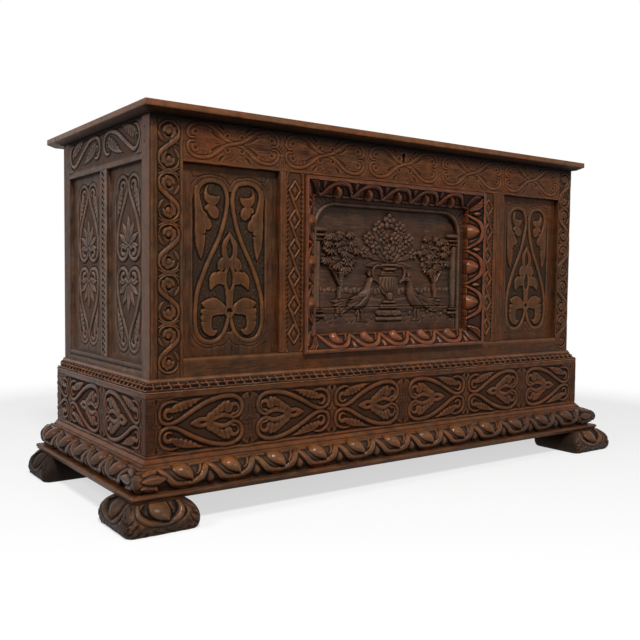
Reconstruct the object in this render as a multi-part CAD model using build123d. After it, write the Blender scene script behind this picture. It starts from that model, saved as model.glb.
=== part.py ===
from build123d import *
import os

# A frame-and-panel chest on a moulded plinth and four block feet, in millimetres.
# X runs along the front, the front faces -Y, Z is up from the floor. The origin is
# the centre of the overall plan, on the floor.

# Carcass
carcass_w = 1265.0
carcass_d = 498.0
carcass_top = 780.0
post_left_w = 69.0
post_right_w = 53.0
post_back_w = 60.0
post_front_d = 39.0
post_back_d = 40.0

# Front frame
front_t = 34.0
front_recess = 14.0
front_panel_w = 223.0
muntin_left_w = 66.5
muntin_right_w = 82.5
front_rail_h = 85.0
front_sill_h = 38.0

# Side and back frames
side_t = 28.0
side_recess = 10.0
side_rail_h = 83.0
side_sill_h = 25.0
side_muntin_w = 40.0
side_front_panel_w = 183.0
back_muntin_w = 62.0
back_muntins = 2
rail_behind_frieze = 40.0

# Joints of the frames: tongues and tenons share one thickness and one depth
tongue_t = 8.0
tongue_behind_face = 3.0
tongue_len = 9.0
groove_len = 10.0
tenon_len = 26.0
muntin_tenon_len = 22.0
haunch = 12.0
end_clearance = 1.0
panel_clearance = 0.5
peg_r = 3.5
peg_len = 27.0
peg_spread = 28.0
peg_fit = 0.05

# Centre frame: four mitred mouldings, an arch board and relief planks behind them
frame_proud = 10.0
frame_fillet = 8.0
frame_section_w = 40.0
frame_slope_d = 17.0
frame_lap = 6.0
frame_under_rail = 2.0
arch_t = 12.0
arch_lap = 16.0
arch_border = 19.0
arch_border_top = 17.0
arch_sill_drop = 14.0
arch_corner_r = 50.0
relief_t = 16.0
relief_lower_h = 93.0

# Plinth, stacked on the feet
foot_h = 55.0
base_t = 12.0
torus_h = 46.0
frieze_h = 137.0
waist_h = 25.0
waist_over = 1.0
waist_lip = 3.0
waist_nose = 2.5
frieze_t = 18.0
frieze_step = 10.0
frieze_step_h = 14.0
frieze_tail = 3.0
torus_proud = 57.0
torus_neck = 48.0
torus_neck_h = 4.0
base_proud = 62.0
base_inner = 42.0
base_back_proud = 30.0
base_bead = 3.0
plinth_back_t = 20.0
floor_t = 15.0
floor_rebate = 12.0
floor_tongue = 6.0
floor_count = 8
floor_gap = 0.4

# Feet
foot_out_x = 80.0
foot_out_y = 86.0
foot_bulge = 20.0
foot_w = 140.0
foot_d = 141.0
foot_widest = 22.0
rear_foot_d = 121.0
rear_foot_back = 19.0

# Lid
lid_t = 20.0
lid_side = 20.5
lid_front = 27.5
lid_back = 62.0
lid_face_h = 12.0
lid_bevel = 15.0
lid_gap = 2.0
cleat_w = 70.0
cleat_tongue_t = 7.0
cleat_tongue_len = 12.0
batten_t = 24.0
batten_h = 40.0
batten_inset = 20.0

# Hinges
hinge_inset = 232.5
knuckle_r = 4.5
knuckle_w = 60.0
knuckle_middle_w = 26.0
knuckle_gap = 0.3
hinge_pin_r = 2.0
hinge_pin_fit = 0.05
strap_t = 2.5
strap_w = 34.0
strap_tip_w = 18.0
strap_len = 190.0
strap_fixed_len = 48.0
lid_nail_places = (40.0, 95.0, 150.0, 178.0)
fixed_nail_places = (18.0, 38.0)
hinge_nail_stop = 3.0
hinge_clearance = 0.6

# Lock
key_x = 5.0
key_below_top = 19.0
key_r = 4.5
key_slot_w = 5.6
key_slot_h = 18.0
lock_w = 100.0
lock_h = 64.0
lock_below_top = 1.0
lock_d = 18.0
lock_wall = 2.0
bolt_len = 48.0
bolt_h = 8.0
bolt_t = 5.0
bolt_travel = 14.0
bolt_fit = 0.2
bolt_notch_w = 10.0
bolt_notch_h = 3.0
guide_t = 5.0
guide_h = 22.0
guide_inset = 1.0
staple_right_of_key = 16.5
staple_t = 3.0
staple_w = 10.0
staple_wall = 2.0
staple_plate_l = 40.0
staple_gap = 4.0

# Nails
nail_head_r = 3.0
nail_head_h = 1.2
nail_r = 1.4
nail_len = 34.0
nail_below_waist = 5.0
frieze_nail_inset = 24.0
frieze_nail_spaces = 5
frieze_side_nail_inset = 10.0

# Places that follow from the sizes above
left = -carcass_w / 2
right = carcass_w / 2
front = (foot_out_y - carcass_d - lid_back) / 2
back = front + carcass_d
base_bottom = foot_h
base_top = base_bottom + base_t
torus_top = base_top + torus_h
frieze_bottom = torus_top
frieze_top = frieze_bottom + frieze_h
waist_top = frieze_top + waist_h
rail_foot = frieze_top - rail_behind_frieze
front_sill = waist_top + front_sill_h
side_sill = waist_top + side_sill_h
front_rail_low = carcass_top - front_rail_h
side_rail_low = carcass_top - side_rail_h
floor_z = rail_foot + floor_rebate
lid_under = carcass_top
lid_top = lid_under + lid_t
hinge_y = back - lid_gap / 2
hinge_x = carcass_w / 2 - hinge_inset
muntin_left_edge = left + post_left_w + front_panel_w
muntin_right_edge = right - post_right_w - front_panel_w
centre_left = muntin_left_edge + muntin_left_w
centre_right = muntin_right_edge - muntin_right_w
frame_left = centre_left - frame_lap
frame_right = centre_right + frame_lap
frame_top = front_rail_low - frame_under_rail
frame_bottom = front_sill - frame_lap
arch_top = frame_top - frame_section_w - arch_border_top
arch_sill = frame_bottom + frame_section_w - arch_sill_drop
relief_joint = front_sill + relief_lower_h
key_z = carcass_top - key_below_top
bolt_y = front + front_t + lock_d / 2
bolt_z = key_z
staple_x = key_x + staple_right_of_key

os.makedirs("parts", exist_ok=True)


def slab(x, y, z):
    """A block between two limits on each axis."""
    spans = (x, y, z)
    middle = [(low + high) / 2 for low, high in spans]
    return Pos(*middle) * Box(*[high - low for low, high in spans])


def prism(points, plane, span):
    """A polygon in one of the base planes, extruded between two distances along its normal."""
    face = make_face(Polyline(*points, close=True))
    face = plane.offset(span[0]) * face
    return extrude(face, span[1] - span[0], dir=plane.z_dir)


def profile_along_x(points, span):
    """A (y, z) section run along X."""
    return prism(points, Plane.YZ, span)


def profile_along_y(points, span):
    """An (x, z) section run along Y, from a drawing in the XZ plane."""
    return prism(points, Plane.XZ, (-span[1], -span[0]))


def plan_prism(points, span):
    """An (x, y) outline run up Z."""
    return prism(points, Plane.XY, span)


def rod(radius, start, direction, length):
    """A round bar that starts at a point and runs along a direction."""
    return Plane(origin=start, z_dir=direction) * extrude(Circle(radius), length)


def save(name, *solids):
    """Write one sub-part; several separate solids may share it."""
    pieces = [piece for solid in solids for piece in solid.solids()]
    shape = pieces[0] if len(pieces) == 1 else Compound(pieces)
    export_step(shape, os.path.join("parts", name + ".step"))


# Face frames. Each is drawn flat: u along the frame, d inwards from its face, z up.
# A placement turns (u, d, z) into the chest's own axes.
place_front = Pos(0, front, 0)
place_left = Pos(left, 0, 0) * Rot(0, 0, -90)
place_right = Pos(right, 0, 0) * Rot(0, 0, 90)
place_back = Pos(0, back, 0) * Rot(0, 0, 180)


def tongue_depths(recess):
    """Depth limits of the grooves, tongues and tenons of a frame."""
    return (recess + tongue_behind_face, recess + tongue_behind_face + tongue_t)


def tenon_span(z, groove_side):
    """Height limits of a rail's tenons, clear of its groove and shouldered both ways."""
    low = z[0] + (groove_len if groove_side < 0 else 0) + haunch
    high = z[1] - (groove_len if groove_side > 0 else 0) - haunch
    return (low, high)


def rail(u, z, thickness, recess, groove_side):
    """A rail between two posts, with a tenon at each end and a groove towards the panels."""
    depths = tongue_depths(recess)
    body = slab(u, (0, thickness), z)
    tenon_u = (u[0] - tenon_len, u[1] + tenon_len)
    tenons = slab(tenon_u, depths, tenon_span(z, groove_side))
    groove_z = (z[0], z[0] + groove_len) if groove_side < 0 else (z[1] - groove_len, z[1])
    return body + tenons - slab(u, depths, groove_z)


def rail_sockets(u, z, recess, groove_side):
    """The mortises that a rail's tenons need in its posts."""
    depths = tongue_depths(recess)
    tenon_z = tenon_span(z, groove_side)
    reach = tenon_len + end_clearance
    return [
        slab((u[0] - reach, u[0]), depths, tenon_z),
        slab((u[1], u[1] + reach), depths, tenon_z),
    ]


def muntin(u, z, thickness, recess, grooves):
    """An upright between two rails, grooved for the panels on the edges asked for."""
    depths = tongue_depths(recess)
    body = slab(u, (0, thickness), z)
    tenon_u = (u[0] + haunch, u[1] - haunch)
    body += slab(tenon_u, depths, (z[0] - muntin_tenon_len, z[1] + muntin_tenon_len))
    if "low" in grooves:
        body -= slab((u[0], u[0] + groove_len), depths, z)
    if "high" in grooves:
        body -= slab((u[1] - groove_len, u[1]), depths, z)
    return body


def muntin_sockets(u, z, recess):
    """The mortises that a muntin's tenons need in the rails."""
    depths = tongue_depths(recess)
    tenon_u = (u[0] + haunch, u[1] - haunch)
    reach = muntin_tenon_len + end_clearance
    return [
        slab(tenon_u, depths, (z[0] - reach, z[0])),
        slab(tenon_u, depths, (z[1], z[1] + reach)),
    ]


def panel(u, z, recess):
    """A panel whose tongue stands in the grooves around an opening."""
    depths = tongue_depths(recess)
    field_u = (u[0] + panel_clearance, u[1] - panel_clearance)
    field_z = (z[0] + panel_clearance, z[1] - panel_clearance)
    tongue_u = (u[0] - tongue_len, u[1] + tongue_len)
    tongue_z = (z[0] - tongue_len, z[1] + tongue_len)
    return slab(field_u, (recess, depths[1]), field_z) + slab(tongue_u, depths, tongue_z)


def post_grooves(u, z, recess):
    """The grooves in the two posts that bound a frame, as long as the panels' tongues."""
    depths = tongue_depths(recess)
    groove_z = (z[0] - groove_len, z[1] + groove_len)
    return [
        slab((u[0] - groove_len, u[0]), depths, groove_z),
        slab((u[1], u[1] + groove_len), depths, groove_z),
    ]


def pegs(u, heights, radius):
    """Draw-bore pegs through the rail tenons, at each height and each end of a frame."""
    ends = (u[0] - tenon_len / 2, u[1] + tenon_len / 2)
    return [rod(radius, (end, 0, z), (0, 1, 0), peg_len) for end in ends for z in heights]


def peg_heights(top_z, bottom_z):
    """Two pegs in each top tenon and two in each bottom tenon."""
    spans = (tenon_span(top_z, -1), tenon_span(bottom_z, 1))
    shifts = (-peg_spread / 2, peg_spread / 2)
    return [sum(span) / 2 + shift for span in spans for shift in shifts]


def cut_all(solid, cutters):
    """Cut every cutter that reaches a solid."""
    for cutter in cutters:
        solid -= cutter
    return solid


def build_frame(u, z_low, z_open, z_high, thickness, recess, muntin_spans, skip_panels=()):
    """All the pieces of one face frame in flat coordinates, with what they cut in the posts."""
    top_z = (z_open[1], z_high)
    bottom_z = (z_low, z_open[0])
    peg_z = peg_heights(top_z, bottom_z)
    holes = pegs(u, peg_z, peg_r + peg_fit)
    rails = {
        "top": rail(u, top_z, thickness, recess, -1),
        "bottom": rail(u, bottom_z, thickness, recess, 1),
    }
    edges = [u[0]] + [edge for span in muntin_spans for edge in span] + [u[1]]
    openings = list(zip(edges[0::2], edges[1::2]))
    uprights = []
    for index, span in enumerate(muntin_spans):
        grooves = set()
        if index not in skip_panels:
            grooves.add("low")
        if index + 1 not in skip_panels:
            grooves.add("high")
        uprights.append(muntin(span, z_open, thickness, recess, grooves))
        for key in rails:
            rails[key] = cut_all(rails[key], muntin_sockets(span, z_open, recess))
    panels = [
        panel(span, z_open, recess)
        for index, span in enumerate(openings)
        if index not in skip_panels
    ]
    sockets = rail_sockets(u, top_z, recess, -1) + rail_sockets(u, bottom_z, recess, 1)
    sockets += post_grooves(u, z_open, recess) + holes
    return {
        "top": cut_all(rails["top"], holes),
        "bottom": cut_all(rails["bottom"], holes),
        "muntins": uprights,
        "panels": panels,
        "sockets": sockets,
        "pegs": pegs(u, peg_z, peg_r),
    }


def placed(place, solids):
    """Move a list of flat pieces into the chest."""
    return [place * solid for solid in solids]


# The four face frames
front_u = (left + post_left_w, right - post_right_w)
front_muntins = [(muntin_left_edge, centre_left), (centre_right, muntin_right_edge)]
front_frame = build_frame(
    front_u,
    rail_foot,
    (front_sill, front_rail_low),
    carcass_top,
    front_t,
    front_recess,
    front_muntins,
    skip_panels=(1,),
)

side_near = front + post_front_d
side_far = back - post_back_d
side_muntin_near = side_near + side_front_panel_w
side_muntin_far = side_muntin_near + side_muntin_w


def build_side(u, muntin_span):
    """One side frame in flat coordinates."""
    z_open = (side_sill, side_rail_low)
    return build_frame(
        u, rail_foot, z_open, carcass_top, side_t, side_recess, [muntin_span]
    )


left_frame = build_side((-side_far, -side_near), (-side_muntin_far, -side_muntin_near))
right_frame = build_side((side_near, side_far), (side_muntin_near, side_muntin_far))

back_u = (left + post_back_w, right - post_back_w)
back_panel_w = (back_u[1] - back_u[0] - back_muntins * back_muntin_w) / (back_muntins + 1)
back_spans = []
for count in range(back_muntins):
    start = back_u[0] + (count + 1) * back_panel_w + count * back_muntin_w
    back_spans.append((start, start + back_muntin_w))
back_frame = build_frame(
    back_u,
    rail_foot,
    (side_sill, side_rail_low),
    carcass_top,
    side_t,
    side_recess,
    back_spans,
)

sockets_front = placed(place_front, front_frame["sockets"])
sockets_left = placed(place_left, left_frame["sockets"])
sockets_right = placed(place_right, right_frame["sockets"])
sockets_back = placed(place_back, back_frame["sockets"])


# Plinth pieces. Mouldings wrap the front corners on mitres at 45 degrees.
def front_mitre(reach, inset, z):
    """The plan zone of a front piece, between the two corner mitres."""
    outline = [
        (left - reach, front - reach),
        (right + reach, front - reach),
        (right - inset, front + inset),
        (left + inset, front + inset),
    ]
    return plan_prism(outline, z)


def side_mitre(reach, inset, rear, z):
    """The plan zone of a left side piece, from the corner mitre to its rear end."""
    outline = [
        (left - reach, front - reach),
        (left + inset, front + inset),
        (left + inset, rear),
        (left - reach, rear),
    ]
    return plan_prism(outline, z)


def wrapped(section, reach, inset, rear, z):
    """Front, left and right lengths of one section, given as (outwards, z) points."""
    margin = reach + inset
    front_points = [(front - out, height) for out, height in section]
    front_run = profile_along_x(front_points, (left - margin, right + margin))
    left_points = [(left - out, height) for out, height in section]
    left_run = profile_along_y(left_points, (front - margin, rear))
    left_piece = left_run & side_mitre(reach, inset, rear, z)
    return {
        "front": front_run & front_mitre(reach, inset, z),
        "left": left_piece,
        "right": mirror(left_piece, about=Plane.YZ),
    }


def rounded_section(points, arcs):
    """A closed section: straight between points, with an arc through a middle where given."""
    edges = []
    for index, start in enumerate(points):
        end = points[(index + 1) % len(points)]
        if index in arcs:
            edges.append(ThreePointArc(start, arcs[index], end))
        else:
            edges.append(Line(start, end))
    return make_face(edges)


waist_section = [
    (0, frieze_top),
    (frieze_t + waist_over, frieze_top),
    (frieze_t + waist_over, frieze_top + waist_nose),
    (waist_lip, waist_top - waist_nose),
    (waist_lip, waist_top),
    (0, waist_top),
]
waist = wrapped(
    waist_section, base_proud, 0, back + frieze_tail, (frieze_top, waist_top)
)

frieze_section = [
    (0, frieze_bottom),
    (frieze_t + frieze_step, frieze_bottom),
    (frieze_t + frieze_step, frieze_bottom + waist_nose),
    (frieze_t, frieze_bottom + frieze_step_h),
    (frieze_t, frieze_top),
    (0, frieze_top),
]
frieze = wrapped(
    frieze_section, base_proud, 0, back + frieze_tail, (frieze_bottom, frieze_top)
)


def torus_runs():
    """Front, left and right lengths of the bold round moulding that stands on the base."""
    neck_top = base_top + torus_neck_h
    crown = frieze_t + frieze_step
    points = [
        (0, base_top),
        (torus_neck, base_top),
        (torus_neck, neck_top),
        (crown, torus_top - waist_nose),
        (crown, torus_top),
        (0, torus_top),
    ]
    bulge = (torus_proud, (neck_top + torus_top) / 2)
    rear = back + base_back_proud - base_bead
    reach = base_proud
    section = rounded_section(points, {2: bulge})
    front_face = Plane(origin=(left - reach, front, 0), x_dir=(0, -1, 0), z_dir=(-1, 0, 0))
    front_run = extrude(front_face * section, -(carcass_w + 2 * reach))
    left_face = Plane(origin=(left, front - reach, 0), x_dir=(-1, 0, 0), z_dir=(0, 1, 0))
    left_run = extrude(left_face * section, rear - front + reach)
    z = (base_top, torus_top)
    left_piece = left_run & side_mitre(reach, 0, rear, z)
    return {
        "front": front_run & front_mitre(reach, 0, z),
        "left": left_piece,
        "right": mirror(left_piece, about=Plane.YZ),
    }


torus = torus_runs()

base_mid = (base_top + base_bottom) / 2
base_section = [
    (-base_inner, base_bottom),
    (base_proud - base_bead, base_bottom),
    (base_proud - base_bead, base_mid - base_bead),
    (base_proud, base_mid),
    (base_proud, base_top - base_bead),
    (base_proud - base_bead, base_top),
    (-base_inner, base_top),
]
base = wrapped(
    base_section, base_proud, base_inner, back + base_back_proud, (base_bottom, base_top)
)
base_back = slab(
    (left + base_inner, right - base_inner),
    (back - base_inner, back + base_back_proud),
    (base_bottom, base_top),
)

plinth_back = slab(
    (left + post_back_w, right - post_back_w),
    (back - plinth_back_t, back),
    (base_top, rail_foot),
)


def foot_side(edge, outward):
    """Top, widest and floor points of one bulging side, which is an arc of one circle."""
    rise = foot_h - foot_widest
    radius = (foot_bulge**2 + rise**2) / (2 * foot_bulge)
    tuck = radius - (radius**2 - foot_widest**2) ** 0.5
    return [
        (edge - outward * foot_bulge, foot_h),
        (edge, foot_widest),
        (edge - outward * tuck, 0),
    ]


def foot_section(low, high, flat_high):
    """The section of a foot between two limits, flat on the high side if asked."""
    low_side = foot_side(low, -1)
    high_side = foot_side(high, 1)
    edges = [ThreePointArc(*low_side)]
    if flat_high:
        high_side = [(high, foot_h), (high, foot_widest), (high, 0)]
        edges.append(Line(high_side[0], high_side[2]))
    else:
        edges.append(ThreePointArc(*high_side))
    edges.append(Line(low_side[2], high_side[2]))
    edges.append(Line(high_side[0], low_side[0]))
    return make_face(edges)


def foot(x, y, flat_back):
    """A cushion-shaped block foot between plan limits."""
    across = Plane.XZ.offset(-y[1]) * foot_section(*x, False)
    along = Plane.YZ.offset(x[0]) * foot_section(*y, flat_back)
    return extrude(across, y[1] - y[0]) & extrude(along, x[1] - x[0])


foot_x = (left - foot_out_x, left - foot_out_x + foot_w)
front_foot_y = (front - foot_out_y, front - foot_out_y + foot_d)
rear_foot_y = (back + rear_foot_back - rear_foot_d, back + rear_foot_back)
foot_front_left = foot(foot_x, front_foot_y, False)
foot_back_left = foot(foot_x, rear_foot_y, True)


# Centre frame of the front
def frame_section(outer, inwards, body_edge):
    """Section of a centre moulding as (place, y), from its outer edge inwards."""
    face = front - frame_proud
    inner = outer + inwards * frame_section_w
    slope_end = front + frame_slope_d
    return [
        (outer, front),
        (outer, face),
        (outer + inwards * frame_fillet, face),
        (inner, slope_end),
        (inner, front + front_t),
        (body_edge, front + front_t),
        (body_edge, front),
    ]


def corner_zone(side):
    """The zone of one centre moulding between its two mitres: top, bottom, left or right."""
    grow = 2 * frame_lap
    depth = frame_section_w + frame_lap
    outer = [
        (frame_left - grow, frame_top + grow),
        (frame_right + grow, frame_top + grow),
        (frame_right + grow, frame_bottom - grow),
        (frame_left - grow, frame_bottom - grow),
    ]
    inner = [
        (frame_left + depth, frame_top - depth),
        (frame_right - depth, frame_top - depth),
        (frame_right - depth, frame_bottom + depth),
        (frame_left + depth, frame_bottom + depth),
    ]
    start = ("top", "right", "bottom", "left").index(side)
    end = (start + 1) % len(outer)
    zone = [outer[start], outer[end], inner[end], inner[start]]
    return profile_along_y(zone, (front - frame_proud, front + front_t))


def frame_around_opening():
    """The rails and muntins round the centre opening, as one block with a hole."""
    grow = 2 * frame_lap
    outer_x = (frame_left - grow, frame_right + grow)
    outer_z = (frame_bottom - grow, frame_top + grow)
    y = (front, front + front_t)
    hole = slab((centre_left, centre_right), y, (front_sill, front_rail_low))
    return slab(outer_x, y, outer_z) - hole


def centre_mouldings():
    """The four mitred mouldings round the relief, lapping over the frame's face."""
    upright_z = (frame_bottom - frame_lap, frame_top + frame_lap)
    run_x = (frame_left - frame_lap, frame_right + frame_lap)
    pieces = {}
    for side, outer, inwards, body_edge in (
        ("top", frame_top, -1, front_rail_low),
        ("bottom", frame_bottom, 1, front_sill),
    ):
        section = frame_section(outer, inwards, body_edge)
        points = [(y, place) for place, y in section]
        pieces[side] = profile_along_x(points, run_x) & corner_zone(side)
    for side, outer, inwards, body_edge in (
        ("left", frame_left, 1, centre_left),
        ("right", frame_right, -1, centre_right),
    ):
        section = frame_section(outer, inwards, body_edge)
        pieces[side] = plan_prism(section, upright_z) & corner_zone(side)
    surround = frame_around_opening()
    return {side: piece - surround for side, piece in pieces.items()}


centre = centre_mouldings()

backing_x = (centre_left - arch_lap, centre_right + arch_lap)
backing_z = (front_sill - arch_lap, front_rail_low + arch_lap)
arch_y = (front + front_t, front + front_t + arch_t)
relief_y = (arch_y[1], arch_y[1] + relief_t)


def arch_opening():
    """The opening of the arch board, with round upper corners."""
    height = arch_top - arch_sill
    width = frame_right - frame_left - 2 * (frame_section_w + arch_border)
    middle = ((frame_left + frame_right) / 2, (arch_top + arch_sill) / 2)
    outline = Pos(*middle) * Rectangle(width, height)
    upper = outline.vertices().sort_by(Axis.Y)[-2:]
    outline = fillet(upper, arch_corner_r)
    return extrude(Plane.XZ.offset(-arch_y[1]) * outline, arch_t)


arch_board = slab(backing_x, arch_y, backing_z) - arch_opening()
relief_upper = slab(backing_x, relief_y, (relief_joint, backing_z[1]))
relief_lower = slab(backing_x, relief_y, (backing_z[0], relief_joint))


# Floor boards, front to back, housed in the front and back bottom rails
floor_z_span = (floor_z, floor_z + floor_t)
floor_front = front + front_t
floor_back = back - side_t
floor_left = left + side_t
floor_board_w = (carcass_w - 2 * side_t) / floor_count
front_housing_y = (floor_front - floor_tongue, floor_front)
back_housing_y = (floor_back, floor_back + floor_tongue)
floor_housing = [
    slab((left + post_left_w, right - post_right_w), front_housing_y, floor_z_span),
    slab((left + post_back_w, right - post_back_w), back_housing_y, floor_z_span),
]
post_blocks = [
    slab((left, left + post_left_w), (front, front + post_front_d), floor_z_span),
    slab((right - post_right_w, right), (front, front + post_front_d), floor_z_span),
    slab((left, left + post_back_w), (back - post_back_d, back), floor_z_span),
    slab((right - post_back_w, right), (back - post_back_d, back), floor_z_span),
]
floor_boards = []
for count in range(floor_count):
    low = floor_left + count * floor_board_w + floor_gap / 2
    board = slab(
        (low, low + floor_board_w - floor_gap),
        (floor_front - floor_tongue, floor_back + floor_tongue),
        floor_z_span,
    )
    floor_boards.append(cut_all(board, post_blocks))


# Lid
def lid_blank(y):
    """A lid slab whose front, left and right edges are undercut by a bevel."""
    low_x = left - lid_side
    high_x = right + lid_side
    face_low = lid_top - lid_face_h
    across = [
        (low_x, lid_top),
        (high_x, lid_top),
        (high_x, face_low),
        (high_x - lid_bevel, lid_under),
        (low_x + lid_bevel, lid_under),
        (low_x, face_low),
    ]
    return profile_along_y(across, y)


lid_y = (front - lid_front, back - lid_gap)
strip_y = (back, back + lid_back)
lid_z = (lid_under, lid_top)


def edge_bevel(edge, inwards):
    """The wedge taken off under an edge that runs along X."""
    points = [
        (edge, lid_top - lid_face_h),
        (edge + inwards * lid_bevel, lid_under),
        (edge, lid_under),
    ]
    reach = carcass_w
    return profile_along_x(points, (-reach, reach))


lid_slab = lid_blank(lid_y) - edge_bevel(lid_y[0], 1)
back_strip = lid_blank(strip_y) - edge_bevel(strip_y[1], -1)
inner_x = (left - lid_side + cleat_w, right + lid_side - cleat_w)
lid_mid_z = (lid_under + lid_top) / 2
tongue_z = (lid_mid_z - cleat_tongue_t / 2, lid_mid_z + cleat_tongue_t / 2)
tongue_x = (inner_x[0] - cleat_tongue_len, inner_x[1] + cleat_tongue_len)
tongue_y = (lid_y[0] + lid_bevel + haunch, lid_y[1] - haunch)
board_split = (lid_y[0] + lid_y[1]) / 2
tongue = slab(tongue_x, tongue_y, tongue_z)
lid_core = (lid_slab & slab(inner_x, lid_y, lid_z)) + tongue
lid_board_front = lid_core & slab(tongue_x, (lid_y[0], board_split), lid_z)
lid_board_back = lid_core & slab(tongue_x, (board_split, lid_y[1]), lid_z)
cleat_socket = slab(
    (tongue_x[0] - end_clearance, tongue_x[1] + end_clearance), tongue_y, tongue_z
)
cleat_left = (lid_slab & slab((left - lid_side, inner_x[0]), lid_y, lid_z)) - cleat_socket
cleat_right = (lid_slab & slab((inner_x[1], right + lid_side), lid_y, lid_z)) - cleat_socket

hinge_batten = slab(
    (left + batten_inset, right - batten_inset),
    (back, back + batten_t),
    (carcass_top - batten_h, carcass_top),
)


# Hinges: straps let in flush with the lid's top, knuckles on the joint behind the lid
def strap(x, toward, length):
    """A tapering strap that starts at the hinge line and runs towards -Y or +Y."""
    end = hinge_y + toward * length
    outline = [
        (x - strap_w / 2, hinge_y),
        (x + strap_w / 2, hinge_y),
        (x + strap_tip_w / 2, end),
        (x - strap_tip_w / 2, end),
    ]
    return plan_prism(outline, (lid_top - strap_t, lid_top))


def knuckle(x_span, radius):
    """A length of the knuckle's cylinder, on the hinge line."""
    return rod(radius, (x_span[0], hinge_y, lid_top), (1, 0, 0), x_span[1] - x_span[0])


def strap_nails(x, toward, places):
    """Nails through a strap, heads flush with it, at distances from the hinge line."""
    solids = []
    for place in places:
        top = (x, hinge_y + toward * place, lid_top)
        head = rod(nail_head_r, top, (0, 0, -1), nail_head_h)
        shank = rod(nail_r, top, (0, 0, -1), lid_t - hinge_nail_stop)
        solids.append(head + shank)
    return solids


lid_straps = []
fixed_straps = []
hinge_pins = []
lid_hinge_nails = []
fixed_hinge_nails = []
hinge_cuts = []
for x in (-hinge_x, hinge_x):
    half = knuckle_w / 2
    half_middle = knuckle_middle_w / 2
    ends = [
        (x - half, x - half_middle - knuckle_gap),
        (x + half_middle + knuckle_gap, x + half),
    ]
    middle = (x - half_middle, x + half_middle)
    bore = knuckle((x - half, x + half), hinge_pin_r + hinge_pin_fit)
    clear = knuckle(
        (x - half - hinge_clearance, x + half + hinge_clearance), knuckle_r + hinge_clearance
    )
    lid_zone = slab((x - half, x + half), (lid_y[0], hinge_y - knuckle_r), lid_z)
    fixed_zone = slab((x - half, x + half), (hinge_y + knuckle_r, strip_y[1]), lid_z)
    arm_z = (lid_top - strap_t, lid_top)
    lid_leaf = strap(x, -1, strap_len) & lid_zone
    for span in ends:
        lid_leaf += knuckle(span, knuckle_r)
        lid_leaf += slab(span, (hinge_y - 2 * knuckle_r, hinge_y), arm_z)
    fixed_leaf = strap(x, 1, strap_fixed_len) & fixed_zone
    fixed_leaf += knuckle(middle, knuckle_r)
    fixed_leaf += slab(middle, (hinge_y, hinge_y + 2 * knuckle_r), arm_z)
    lid_nails = strap_nails(x, -1, lid_nail_places)
    fixed_nails = strap_nails(x, 1, fixed_nail_places)
    lid_straps.append(cut_all(lid_leaf - bore, lid_nails))
    fixed_straps.append(cut_all(fixed_leaf - bore, fixed_nails))
    hinge_pins.append(knuckle((x - half, x + half), hinge_pin_r))
    lid_hinge_nails += lid_nails
    fixed_hinge_nails += fixed_nails
    hinge_cuts += [
        clear,
        strap(x, -1, strap_len),
        strap(x, 1, strap_fixed_len),
        slab(
            (x - half, x + half),
            (hinge_y - 2 * knuckle_r, hinge_y + 2 * knuckle_r),
            arm_z,
        ),
    ]
hinge_cuts += lid_hinge_nails + fixed_hinge_nails


# Lock: a case on the inner face of the top rail, a sliding bolt and a staple on the lid
def keyhole(y):
    """A round hole with a slot below it, through two depths."""
    start = (key_x, y[0], key_z)
    hole = rod(key_r, start, (0, 1, 0), y[1] - y[0])
    slot_x = (key_x - key_slot_w / 2, key_x + key_slot_w / 2)
    return hole + slab(slot_x, y, (key_z - key_slot_h, key_z))


lock_y = (front + front_t, front + front_t + lock_d)
lock_x = (key_x - lock_w / 2, key_x + lock_w / 2)
lock_z = (carcass_top - lock_below_top - lock_h, carcass_top - lock_below_top)
bolt_x = (staple_x - staple_gap - bolt_len, staple_x - staple_gap)


def bolt_bar(x, fit):
    """The bolt's bar between two limits, grown by a fit."""
    half_t = bolt_t / 2 + fit
    half_h = bolt_h / 2 + fit
    return slab(x, (bolt_y - half_t, bolt_y + half_t), (bolt_z - half_h, bolt_z + half_h))


def lock_case_solid():
    """The hollow case with three guides for the bolt and a slot for the staple."""
    inner_y = (lock_y[0] + lock_wall, lock_y[1] - lock_wall)
    inner_z = (lock_z[0] + lock_wall, lock_z[1] - lock_wall)
    case = slab(lock_x, lock_y, lock_z)
    case -= slab((lock_x[0] + lock_wall, lock_x[1] - lock_wall), inner_y, inner_z)
    guide_z = (bolt_z - guide_h / 2, bolt_z + guide_h / 2)
    for x in (
        bolt_x[0] + bolt_travel + guide_inset,
        bolt_x[1] - guide_t - guide_inset,
        staple_x + staple_t + staple_gap,
    ):
        case += slab((x, x + guide_t), inner_y, guide_z)
    case -= bolt_bar((lock_x[0] + lock_wall, lock_x[1] - lock_wall), bolt_fit)
    slot_x = (staple_x - lock_wall, staple_x + staple_t + lock_wall)
    case -= slab(slot_x, inner_y, (inner_z[1], lock_z[1]))
    return case - keyhole((lock_y[0], inner_y[0]))


def bolt_solid():
    """The bolt, with a notch underneath for the key."""
    notch_x = (key_x - bolt_notch_w / 2, key_x + bolt_notch_w / 2)
    notch_z = (bolt_z - bolt_h / 2, bolt_z - bolt_h / 2 + bolt_notch_h)
    return bolt_bar(bolt_x, 0) - slab(notch_x, lock_y, notch_z)


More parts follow.
